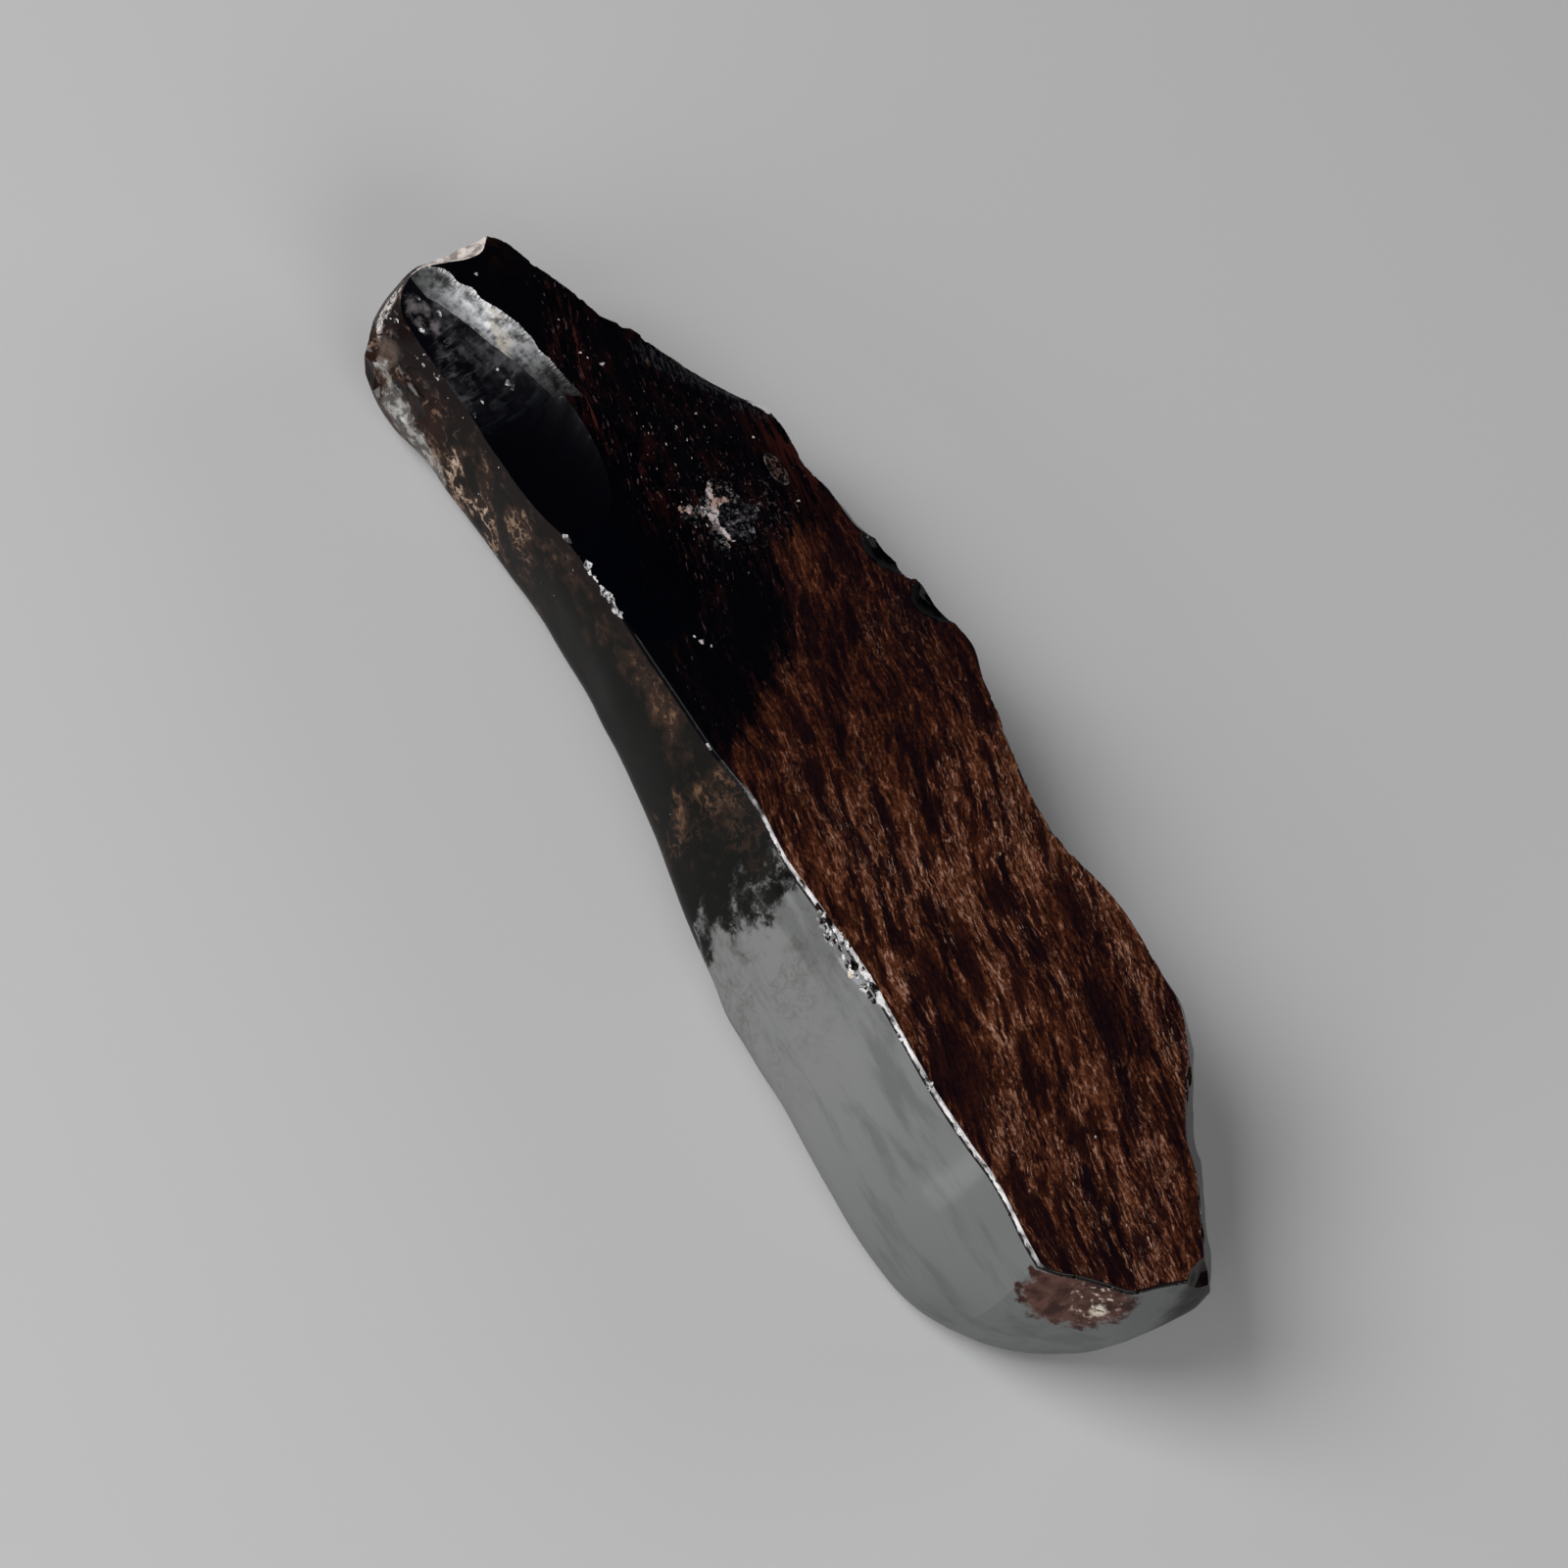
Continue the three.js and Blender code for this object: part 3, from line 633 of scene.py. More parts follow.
# ---------------------------------------------------------------- keep one piece, clean its shading
bm = bmesh.new()
bm.from_mesh(mesh)
bm.verts.ensure_lookup_table()
seen, best = set(), []
for v in bm.verts:
    if v.index in seen:
        continue
    stack, part = [v], []
    seen.add(v.index)
    while stack:
        w = stack.pop()
        part.append(w)
        for e in w.link_edges:
            u = e.other_vert(w)
            if u.index not in seen:
                seen.add(u.index)
                stack.append(u)
    if len(part) > len(best):
        best = part
keep = set(v.index for v in best)
bmesh.ops.delete(bm, geom=[v for v in bm.verts if v.index not in keep], context="VERTS")
bmesh.ops.triangulate(bm, faces=[f for f in bm.faces if len(f.verts) > 4])
flat = {T["face"], T["back"]}
for f in bm.faces:
    f.smooth = True
for e in bm.edges:
    if len(e.link_faces) != 2:
        e.smooth = False
        continue
    f, g = e.link_faces
    angle = f.normal.angle(g.normal, 0.0)
    if f.material_index != g.material_index:
        e.smooth = not (angle > math.radians(3) or f.material_index in flat or g.material_index in flat)
    else:
        e.smooth = angle < math.radians(32)
mesh2 = bpy.data.meshes.new("obsidian")
bm.to_mesh(mesh2)
bm.free()
for m in MATS:
    mesh2.materials.append(m)
co = np.zeros(len(mesh2.vertices) * 3)
mesh2.vertices.foreach_get("co", co)
co = (co.reshape(-1, 3) - SHIFT) * 0.001
mesh2.vertices.foreach_set("co", co.ravel())
mesh2.update()
lens_s, lens_t = rim_coords(co[:, 0] * 1000 + SHIFT[0], co[:, 1] * 1000 + SHIFT[1])
for name, values in (("rim_along", lens_s), ("rim_in", np.clip(lens_t, -30, 30))):
    at = mesh2.attributes.new(name, "FLOAT", "POINT")
    at.data.foreach_set("value", values.astype(np.float32))
for f in mesh2.polygons:
    x, y, z = f.center.x * 1000 + SHIFT[0], f.center.y * 1000 + SHIFT[1], f.center.z * 1000
    inner = np.interp(y, [-9.5, -8.1, -6.3, -4.1, -1.2, 0.7, 2.5], [81.5, 79.8, 79.1, 78.95, 79.3, 79.9, 80.6])
    if -9.0 < y < 1.6 and x > inner - 0.2 and z > 13.5 and f.material_index != T["face"]:
        f.material_index = T["tip"]
    if f.material_index == T["arris"] and x > 6 and y > 2:
        f.material_index = T["scallop"]
stone = bpy.data.objects.new("obsidian", mesh2)
bpy.context.scene.collection.objects.link(stone)
print("stone faces", len(mesh2.polygons), "verts", len(mesh2.vertices))


# ---------------------------------------------------------------- material nodes
class Nodes:
    def __init__(self, mat):
        mat.use_nodes = True
        self.tree = mat.node_tree
        self.tree.nodes.clear()

    def add(self, kind, **props):
        n = self.tree.nodes.new(kind)
        for k, v in props.items():
            setattr(n, k, v)
        return n

    def put(self, socket, value):
        if isinstance(value, bpy.types.NodeSocket):
            self.tree.links.new(value, socket)
        elif value is not None:
            socket.default_value = value

    def math(self, op, a, b=None, c=None, clamp=False):
        n = self.add("ShaderNodeMath", operation=op, use_clamp=clamp)
        for s, v in zip(n.inputs, (a, b, c)):
            self.put(s, v)
        return n.outputs[0]

    def mul(self, a, b):
        return self.math("MULTIPLY", a, b)

    def plus(self, a, b):
        return self.math("ADD", a, b)

    def vec(self, op, a, b=None):
        n = self.add("ShaderNodeVectorMath", operation=op)
        self.put(n.inputs[0], a)
        if b is not None:
            self.put(n.inputs[1], b)
        return n.outputs["Value"] if op in ("LENGTH", "DOT_PRODUCT", "DISTANCE") else n.outputs[0]

    def combine(self, x, y, z):
        n = self.add("ShaderNodeCombineXYZ")
        for s, v in zip(n.inputs, (x, y, z)):
            self.put(s, v)
        return n.outputs[0]

    def noise(self, at, scale=1.0, detail=2.0, rough=0.5, lac=2.0, dist=0.0, colour=False):
        n = self.add("ShaderNodeTexNoise", noise_dimensions="3D")
        self.put(n.inputs["Vector"], at)
        n.inputs["Scale"].default_value = scale
        n.inputs["Detail"].default_value = detail
        n.inputs["Roughness"].default_value = rough
        n.inputs["Lacunarity"].default_value = lac
        n.inputs["Distortion"].default_value = dist
        return n.outputs["Color" if colour else "Fac"]

    def voronoi(self, at, scale=1.0, feature="F1", rand=1.0, out="Distance"):
        n = self.add("ShaderNodeTexVoronoi", feature=feature)
        self.put(n.inputs["Vector"], at)
        n.inputs["Scale"].default_value = scale
        n.inputs["Randomness"].default_value = rand
        return n.outputs[out]

    def fade(self, x, lo, hi, a=0.0, b=1.0):
        n = self.add("ShaderNodeMapRange", interpolation_type="SMOOTHSTEP", clamp=True)
        for s, v in zip(n.inputs, (x, lo, hi, a, b)):
            self.put(s, v)
        return n.outputs[0]

    def mix(self, f, a, b, mode="MIX"):
        n = self.add("ShaderNodeMix", data_type="RGBA", blend_type=mode, clamp_factor=True)
        self.put(n.inputs[0], f)
        for s, v in ((n.inputs[6], a), (n.inputs[7], b)):
            self.put(s, (*v, 1.0) if isinstance(v, tuple) and len(v) == 3 else v)
        return n.outputs[2]

    def ramp(self, f, stops):
        n = self.add("ShaderNodeValToRGB")
        el = n.color_ramp.elements
        while len(el) < len(stops):
            el.new(0.5)
        for e, (p, c) in zip(el, stops):
            e.position = p
            e.color = (*c, 1.0)
        self.put(n.inputs[0], f)
        return n.outputs[0]

    def curve(self, x, lo, hi, points, ylo, yhi):
        """y of x through points, both mapped to 0..1 for the curve."""
        n = self.add("ShaderNodeFloatCurve")
        c = n.mapping.curves[0]
        pts = [((p - lo) / (hi - lo), (q - ylo) / (yhi - ylo)) for p, q in points]
        while len(c.points) < len(pts):
            c.points.new(0.5, 0.5)
        for k, (p, q) in enumerate(pts):
            c.points[k].location = (p, q)
            c.points[k].handle_type = "VECTOR"
        n.mapping.update()
        m = self.add("ShaderNodeMapRange", clamp=True)
        for s, v in zip(m.inputs, (x, lo, hi, 0.0, 1.0)):
            self.put(s, v)
        self.put(n.inputs["Value"], m.outputs[0])
        return self.plus(self.mul(n.outputs[0], yhi - ylo), ylo)


def coords(g):
    """Drawing-frame millimetres, and the same turned so that U runs along the silk."""
    tc = g.add("ShaderNodeTexCoord").outputs["Object"]
    p = g.vec("ADD", g.vec("MULTIPLY", tc, (1000.0,) * 3), tuple(SHIFT))
    sep = g.add("ShaderNodeSeparateXYZ")
    g.put(sep.inputs[0], p)
    x, y, z = sep.outputs
    warp = g.noise(p, 0.035, 2.0, 0.4, colour=True)
    ws = g.add("ShaderNodeSeparateColor")
    g.put(ws.inputs[0], warp)
    wu = g.mul(g.math("SUBTRACT", ws.outputs[0], 0.5), 4.0)
    wv = g.mul(g.math("SUBTRACT", ws.outputs[1], 0.5), 6.0)
    u = g.plus(g.plus(g.mul(x, 0.958), g.mul(y, -0.287)), wu)
    v = g.plus(g.plus(g.mul(x, 0.287), g.mul(y, 0.958)), wv)
    return dict(p=p, x=x, y=y, z=z, u=u, v=v)


def silk(g, c, ku, kv, seed, detail=2.0, rough=0.55):
    return g.noise(g.combine(g.mul(c["u"], ku), g.mul(c["v"], kv), g.plus(g.mul(c["z"], kv * 0.35), seed)), 1.0, detail, rough)


def oval(g, c, x0, y0, a, b, turn=-16.7):
    """1 at the middle of an oval on the face and 0 at its rim, below 0 outside."""
    t = math.radians(turn)
    dx, dy = g.math("SUBTRACT", c["x"], x0), g.math("SUBTRACT", c["y"], y0)
    u = g.mul(g.plus(g.mul(dx, math.cos(t)), g.mul(dy, math.sin(t))), 1 / a)
    v = g.mul(g.plus(g.mul(dx, -math.sin(t)), g.mul(dy, math.cos(t))), 1 / b)
    return g.math("SUBTRACT", 1.0, g.plus(g.mul(u, u), g.mul(v, v)))


def sparks(g, c, scale, size, seed, share=0.5):
    """Tiny bright dots."""
    at = g.vec("ADD", c["p"], (seed, seed * 2.0, seed * 3.0))
    n = g.add("ShaderNodeTexVoronoi", feature="F1")
    g.put(n.inputs["Vector"], at)
    n.inputs["Scale"].default_value = scale
    dot = g.fade(n.outputs["Distance"], size * scale, size * scale * 0.45)
    s = g.add("ShaderNodeSeparateColor")
    g.put(s.inputs[0], n.outputs["Color"])
    return g.mul(dot, g.fade(s.outputs[0], 1 - share, 1 - share + 0.02))


def near_line(g, c, points, radius, rough=0.8):
    """1 on a broken line through points and 0 at radius from it, with a ragged rim."""
    far = None
    ragged = g.mul(g.math("SUBTRACT", g.noise(c["p"], 0.9, 3.0, 0.6), 0.5), radius * rough * 2)
    for a, b in zip(points[:-1], points[1:]):
        a, b = np.array(a, float), np.array(b, float)
        ab = b - a
        ap = g.vec("SUBTRACT", c["p"], tuple(a))
        f = g.mul(g.vec("DOT_PRODUCT", ap, tuple(ab)), 1 / float(ab @ ab))
        f = g.math("MINIMUM", 1.0, g.math("MAXIMUM", 0.0, f))
        foot = g.vec("MULTIPLY", g.combine(f, f, f), tuple(ab))
        d = g.vec("DISTANCE", ap, foot)
        far = d if far is None else g.math("MINIMUM", far, d)
    return g.fade(g.plus(far, ragged), radius, radius * 0.55)


def cells(g, c, ku, kv, seed):
    """Elongated cells: the distance to the nearest border, and a random number a cell."""
    at = g.combine(g.mul(c["u"], ku), g.mul(c["v"], kv), g.plus(g.mul(c["z"], kv * 0.35), seed))
    e = g.add("ShaderNodeTexVoronoi", feature="DISTANCE_TO_EDGE")
    f = g.add("ShaderNodeTexVoronoi", feature="F1")
    for n in (e, f):
        g.put(n.inputs["Vector"], at)
        n.inputs["Scale"].default_value = 1.0
    sc = g.add("ShaderNodeSeparateColor")
    g.put(sc.inputs[0], f.outputs["Color"])
    return e.outputs["Distance"], sc.outputs[0]


def turned(g, c, degrees):
    """The silk coordinates turned a little further."""
    t = math.radians(degrees)
    d = dict(c)
    d["u"] = g.plus(g.mul(c["u"], math.cos(t)), g.mul(c["v"], math.sin(t)))
    d["v"] = g.plus(g.mul(c["u"], -math.sin(t)), g.mul(c["v"], math.cos(t)))
    return d


def strands(g, c, ku, kv, seed, width):
    """Long thin lines: where an elongated noise crosses its middle."""
    n = silk(g, c, ku, kv, seed, 1.5, 0.5)
    return g.fade(g.math("ABSOLUTE", g.math("SUBTRACT", n, 0.5)), width, 0.0)


def brown(g, c):
    wob = g.noise(c["p"], 0.55, 3.0, 0.6, colour=True)
    js = g.add("ShaderNodeSeparateColor")
    g.put(js.inputs[0], wob)
    w = dict(c)
    w["v"] = g.plus(c["v"], g.mul(g.math("SUBTRACT", js.outputs[0], 0.5), 0.75))
    w["u"] = g.plus(c["u"], g.mul(g.math("SUBTRACT", js.outputs[1], 0.5), 3.0))
    c2, c3 = turned(g, w, 8.0), turned(g, w, -7.0)
    broad = silk(g, c, 0.050, 0.22, 3.0, 3.0)
    band = silk(g, w, 0.13, 0.75, 11.0, 3.0, 0.6)
    fibre = silk(g, c2, 0.34, 2.0, 23.0, 4.0, 0.62)
    fibre2 = silk(g, c3, 0.70, 3.4, 29.0, 3.0, 0.62)
    grain = g.noise(c["p"], 2.0, 3.0, 0.60)
    t = g.plus(g.plus(g.mul(broad, 0.15), g.mul(band, 0.25)), g.plus(g.mul(fibre, 0.24), g.plus(g.mul(fibre2, 0.21), g.mul(grain, 0.15))))
    e1, r1 = cells(g, w, 0.11, 0.52, 5.0)
    e2, r2 = cells(g, c3, 0.20, 0.95, 9.0)
    edge1 = g.mul(g.fade(e1, 0.085, 0.0), g.fade(grain, 0.40, 0.56, 0.35, 1.0))
    edge2 = g.mul(g.fade(e2, 0.10, 0.0), g.fade(fibre, 0.42, 0.56, 0.15, 1.0))
    hollow = g.mul(g.fade(r1, 0.72, 0.84), g.fade(e1, 0.01, 0.26))
    hollow2 = g.mul(g.fade(r2, 0.74, 0.86), g.fade(e2, 0.01, 0.30))
    t = g.plus(t, g.plus(g.plus(g.mul(edge1, 0.040), g.mul(edge2, 0.034)), -0.008))
    t = g.plus(t, g.curve(c["x"], -80.0, 60.0, [(-80, -0.012), (-62, -0.006), (-45, -0.002), (-12, 0.002), (-4, -0.018), (6, -0.046), (60, -0.058)], -0.1, 0.1))
    for x0, y0, a, b, k in ((-41, -20, 14, 5.5, -0.030), (24, -19, 7, 5, 0.028), (8, -2, 9, 4, 0.028), (-10, -3, 14, 3, 0.03), (-62, -4, 8, 3.5, -0.02),
                            (2, -20, 15, 6.0, -0.020), (-30, -12, 13, 3.2, 0.030), (-27.5, 1.8, 4.5, 1.6, 0.065), (-37, -7, 8, 2.2, 0.030), (-34, -22, 14, 4.5, -0.022)):
        t = g.plus(t, g.mul(g.fade(oval(g, c, x0, y0, a, b), 0.0, 0.8), k))
    ragged = g.plus(g.mul(g.math("SUBTRACT", grain, 0.5), 1.6), g.mul(g.math("SUBTRACT", fibre, 0.5), 2.2))
    calm = g.fade(g.plus(g.mul(band, 0.6), g.mul(broad, 0.4)), 0.462, 0.408)
    calm = g.math("MAXIMUM", calm, g.math("MAXIMUM", hollow, g.mul(hollow2, 0.85)))
    for x0, y0, a, b in ((-29.4, -7.5, 7.0, 1.3), (-41.5, 1.8, 9.5, 2.8), (-28.6, -2.2, 4.5, 1.6), (-16.7, -6.6, 2.6, 0.9), (-23.2, -15.5, 3.0, 1.0), (-30.4, -16.2, 3.6, 1.4),
                         (-28.5, -24.0, 5.0, 2.0), (-61.0, 3.9, 4.5, 1.6), (-68.0, -5.2, 2.6, 1.1), (-59.4, -3.9, 2.2, 1.0), (-42.5, -18.5, 6.0, 2.0), (-53.0, -6.5, 3.4, 1.4), (-15.5, -10.5, 2.2, 0.8)):
        calm = g.math("MAXIMUM", calm, g.mul(g.fade(g.plus(oval(g, c, x0, y0, a, b), ragged), -0.1, 0.75), 0.95))
    t = g.plus(t, g.mul(g.mul(calm, 0.80), g.math("SUBTRACT", g.plus(g.mul(t, 0.25), 0.282), t)))
    fine = silk(g, c2, 0.85, 3.8, 61.0, 4.0, 0.66)
    lower = g.fade(c["x"], 6.0, -24.0, 0.45, 1.0)
    t = g.plus(t, g.mul(g.mul(g.math("SUBTRACT", fine, 0.5), lower), g.plus(0.31, g.mul(calm, -0.14))))
    col = g.ramp(t, [(0.380, (0.0040, 0.0015, 0.0024)), (0.425, (0.0100, 0.0030, 0.0034)), (0.465, (0.0220, 0.0058, 0.0034)), (0.505, (0.0430, 0.0125, 0.0058)),
                     (0.545, (0.078, 0.0245, 0.0108)), (0.585, (0.138, 0.0500, 0.0260)), (0.63, (0.26, 0.145, 0.100)), (0.69, (0.48, 0.36, 0.30))])
    where = g.fade(g.plus(silk(g, c, 0.07, 0.22, 51.0, 2.0), g.mul(g.math("SUBTRACT", t, 0.5), 1.8)), 0.44, 0.62)
    f1 = g.mul(g.fade(fine, 0.54, 0.63), g.math("SUBTRACT", 1.0, g.mul(calm, 0.75)))
    f2 = g.fade(silk(g, c3, 0.8, 4.2, 67.0, 3.0, 0.64), 0.605, 0.69)
    where = g.mul(where, lower)
    col = g.mix(g.mul(g.mul(f1, where), 0.58), col, (0.29, 0.150, 0.100))
    col = g.mix(g.mul(g.mul(f2, where), 0.70), col, (0.46, 0.31, 0.24))
    return col, t


def black(g, c):
    base = g.mix(g.noise(c["p"], 0.16, 2.0), (0.0002, 0.0002, 0.0006), (0.0008, 0.0008, 0.0018))
    right = g.fade(c["y"], 2.0, -13.0)
    dense = g.fade(g.plus(silk(g, c, 0.05, 0.20, 77.0, 2.0), g.mul(right, 0.14)), 0.50, 0.68)
    red = g.fade(silk(g, c, 0.24, 0.62, 79.0, 4.0, 0.62), 0.48, 0.70)
    col = g.mix(g.mul(g.mul(red, dense), 0.85), base, (0.0110, 0.0026, 0.0024))
    wob = turned(g, c, 3.0)
    line = g.mul(strands(g, wob, 0.045, 0.42, 71.0, 0.018), g.fade(silk(g, c, 0.35, 0.9, 72.0, 3.0), 0.46, 0.60))
    line2 = g.mul(strands(g, c, 0.09, 0.80, 73.0, 0.020), g.fade(silk(g, c, 0.45, 1.2, 74.0, 3.0), 0.50, 0.64))
    lines = g.math("MAXIMUM", line, line2)
    col = g.mix(g.mul(lines, g.plus(g.mul(dense, 0.50), 0.03)), col, (0.028, 0.0075, 0.0060))
    streak = near_line(g, c, [(70.1, -13.3, 18.5), (63.2, -10.3, 18.7), (56.1, -7.1, 19.0), (50.1, -5.9, 19.2), (42.4, -4.5, 19.5), (38.2, -4.3, 19.6)], 0.20, 1.3)
    col = g.mix(g.mul(streak, g.fade(silk(g, c, 0.4, 1.2, 75.0, 3.0), 0.42, 0.60)), col, (0.034, 0.0085, 0.0062))
    spots = g.mul(g.fade(silk(g, c, 0.75, 2.8, 83.0, 3.0, 0.6), 0.625, 0.70), dense)
    col = g.mix(g.mul(spots, 0.85), col, (0.085, 0.046, 0.043))
    bits = g.mul(g.fade(silk(g, c, 0.9, 2.2, 87.0, 2.0, 0.6), 0.70, 0.745), g.fade(oval(g, c, 41.0, -14.0, 15.0, 9.0, 0), 0.0, 0.6))
    col = g.mix(bits, col, (0.42, 0.37, 0.35))
    return col


def shader(g, base, rough, coat=1.0, coat_rough=0.04, bump=None, strength=0.3, height=0.05, metal=None, ior=1.5, spec=0.0):
    b = g.add("ShaderNodeBsdfPrincipled")
    g.put(b.inputs["Base Color"], base if isinstance(base, bpy.types.NodeSocket) else (*base, 1.0))
    g.put(b.inputs["Roughness"], rough)
    b.inputs["IOR"].default_value = ior
    b.inputs["Specular IOR Level"].default_value = spec
    b.inputs["Coat Weight"].default_value = coat
    b.inputs["Coat Roughness"].default_value = coat_rough
    b.inputs["Coat IOR"].default_value = 1.5
    if metal is not None:
        g.put(b.inputs["Metallic"], metal)
    if bump is not None:
        n = g.add("ShaderNodeBump")
        n.inputs["Strength"].default_value = strength
        n.inputs["Distance"].default_value = height * 0.001
        g.put(n.inputs["Height"], bump)
        g.tree.links.new(n.outputs[0], b.inputs["Normal"])
        g.tree.links.new(n.outputs[0], b.inputs["Coat Normal"])
    out = g.add("ShaderNodeOutputMaterial")
    g.tree.links.new(b.outputs[0], out.inputs[0])
    return b


BORDER = [(-32, 30.5), (-29.7, 30.7), (-27.7, 32.3), (-26, 27.8), (-23, 29.6), (-18, 29.9), (-15.3, 23.0), (-12.8, 15.9),
          (-9, 13.6), (-5.3, 12.3), (0.4, 8.1), (4.7, 7.1), (8, 6.5)]


def dark_half(g, c):
    """1 on the black half of the stone, 0 on the brown."""
    edge = g.curve(c["y"], -32.0, 8.0, BORDER, 0.0, 40.0)
    ragged = g.mul(g.math("SUBTRACT", silk(g, c, 0.16, 0.9, 91.0, 4.0, 0.65), 0.5), 17.0)
    fine = g.mul(g.math("SUBTRACT", g.noise(c["p"], 0.8, 4.0, 0.65), 0.5), 7.0)
    side = g.plus(g.plus(g.math("SUBTRACT", c["x"], edge), ragged), fine)
    return g.fade(side, -2.4, 2.0)


# The polished face.
g = Nodes(MATS[T["face"]])
c = coords(g)
fb, ft = brown(g, c)
bk = black(g, c)
dark = dark_half(g, c)
redrim = g.mul(g.fade(g.math("SUBTRACT", c["y"], g.curve(c["x"], 28.0, 60.0, [(28, -29), (40, -28), (47, -26.6), (60, -19)], -30.0, -10.0)), 5.5, 1.0),
               g.mul(g.fade(c["x"], 50, 40), g.fade(c["x"], 27, 31)))
col = g.mix(dark, fb, bk)
col = g.mix(g.mul(g.mul(redrim, dark), g.fade(silk(g, c, 0.2, 1.7, 5.0, 2.0), 0.42, 0.6)), col, (0.022, 0.0050, 0.0034))
shoulder = g.fade(g.vec("DISTANCE", g.combine(c["x"], c["y"], 0.0), (80.5, -10.0, 0.0)), 6.5, 1.0)
col = g.mix(g.mul(shoulder, g.fade(g.noise(c["p"], 0.45, 4.0, 0.6), 0.40, 0.66, 0.05, 0.60)), col, (0.017, 0.0058, 0.0042))
dots = g.mul(sparks(g, c, 0.28, 0.13, 5.0, 0.22), g.fade(silk(g, c, 0.06, 0.2, 99.0, 2.0), 0.44, 0.56, 0.25, 1.0))
col = g.mix(g.mul(dots, g.plus(g.mul(dark, 0.6), 0.05)), col, (0.26, 0.21, 0.20))
# A grey-blue patch along the chipped right edge: partly frosted glass, partly painted sheen.
frosted_edge_and_painted_sheen = near_line(g, c, [(58.5, -18.4, 19.0), (54.3, -21.4, 19.1), (50.3, -24.6, 19.2), (46.0, -27.0, 19.4)], 2.2, 0.5)
col = g.mix(g.mul(frosted_edge_and_painted_sheen, g.fade(silk(g, c, 0.9, 3.0, 15.0, 4.0, 0.65), 0.46, 0.66)), col, (0.020, 0.022, 0.026))
# Painted highlight: a white line along the bevel at the right edge of the face.
painted_bevel_highlight = near_line(g, c, [(50.6, -25.2, 19.2), (47.6, -26.9, 19.3), (45.6, -28.0, 19.4)], 0.55, 0.8)
col = g.mix(g.mul(painted_bevel_highlight, 0.9), col, (0.50, 0.49, 0.48))
for x0, y0, r in ((-54.4, -8.5, 0.30), (59.3, -11.7, 0.42), (61.8, -10.0, 0.26), (60.8, -10.5, 0.18), (76.7, -3.8, 0.32), (67.0, -10.1, 0.22),
                  (49.6, -7.5, 0.30), (48.7, -8.7, 0.28), (48.6, -19.0, 0.26), (20.5, -1.5, 0.50), (21.5, -1.1, 0.26), (19.6, -2.3, 0.24),
                  (42.9, -24.0, 0.28), (32.8, -24.2, 0.34), (42.0, -7.3, 0.34)):
    d = g.vec("DISTANCE", g.combine(c["x"], c["y"], 0.0), (x0, y0, 0.0))
    d = g.plus(d, g.mul(g.math("SUBTRACT", g.noise(c["p"], 2.6, 3.0, 0.6), 0.5), 2.2 * r))
    col = g.mix(g.fade(d, r * 0.80, r * 0.25), col, (0.50, 0.46, 0.44))
near_pit = g.fade(g.plus(oval(g, c, 34.6, -16.0, 8.5, 9.0, 0), g.mul(g.math("SUBTRACT", g.noise(c["p"], 0.45, 3.0), 0.5), 1.4)), 0.2, 0.9)
scatter = g.mul(near_pit, g.fade(g.noise(c["p"], 1.5, 4.0, 0.65), 0.57, 0.68))
col = g.mix(g.mul(scatter, 0.50), col, (0.125, 0.092, 0.092))
shader(g, col, 0.42, 1.0, 0.035, silk(g, c, 0.5, 3.0, 41.0, 3.0), 0.12, 0.02)


def vein_wall(g, c):
    """Smoky folds and a loose net of thin veins round dark cells, and the cloud that they lie in."""
    wn = g.noise(c["p"], 0.30, 4.0, 0.58, colour=True)
    at = g.vec("ADD", g.vec("MULTIPLY", c["p"], (0.75, 1.0, 1.0)), g.vec("MULTIPLY", g.vec("SUBTRACT", wn, (0.5,) * 3), (6.5,) * 3))
    cloud = g.noise(c["p"], 0.24, 3.0, 0.55)
    thick = g.plus(g.mul(g.fade(g.noise(c["p"], 0.30, 2.0), 0.38, 0.66), 0.16), 0.06)
    e = g.add("ShaderNodeTexVoronoi", feature="DISTANCE_TO_EDGE")
    g.put(e.inputs["Vector"], at)
    e.inputs["Scale"].default_value = 0.36
    net = g.fade(e.outputs["Distance"], thick, 0.0)
    fold = g.fade(g.math("ABSOLUTE", g.math("SUBTRACT", g.noise(at, 0.34, 2.0, 0.5), 0.5)), 0.050, 0.0)
    fine = g.noise(c["p"], 0.9, 4.0, 0.60)
    lines = g.math("MAXIMUM", g.mul(net, 0.9), g.mul(fold, 0.75))
    amount = g.mul(g.plus(0.20, g.mul(lines, 0.80)), g.fade(cloud, 0.38, 0.62, 0.12, 1.0))
    return g.mul(amount, g.fade(fine, 0.30, 0.62, 0.55, 1.15)), cloud


def lobe(g, c, col, n2):
    """The reddish, cloudy end of the stone below the polished face, with its white flecks."""
    n1 = g.noise(c["p"], 0.45, 4.0, 0.6)
    red = g.mix(g.fade(n1, 0.35, 0.65), (0.028, 0.0100, 0.0072), (0.095, 0.044, 0.033))
    far = g.vec("LENGTH", g.vec("MULTIPLY", g.vec("SUBTRACT", c["p"], (-69.0, 3.2, 20.0)), (0.9, 0.9, 1.15)))
    where = g.fade(g.plus(far, g.plus(g.mul(g.math("SUBTRACT", n2, 0.5), 2.5), g.mul(g.math("SUBTRACT", n1, 0.5), 6.5))), 6.4, 5.2)
    col = g.mix(where, col, red)
    flecks = g.fade(g.vec("DISTANCE", c["p"], (-70.6, 1.2, 20.3)), 4.8, 1.5)
    col = g.mix(g.mul(g.mul(g.fade(n2, 0.55, 0.66), where), flecks), col, (0.44, 0.36, 0.31))
    return g.mix(g.mul(g.fade(g.vec("DISTANCE", c["p"], (-71.2, 1.0, 18.8)), 1.4, 0.6), g.fade(n2, 0.40, 0.52)), col, (0.60, 0.54, 0.45))


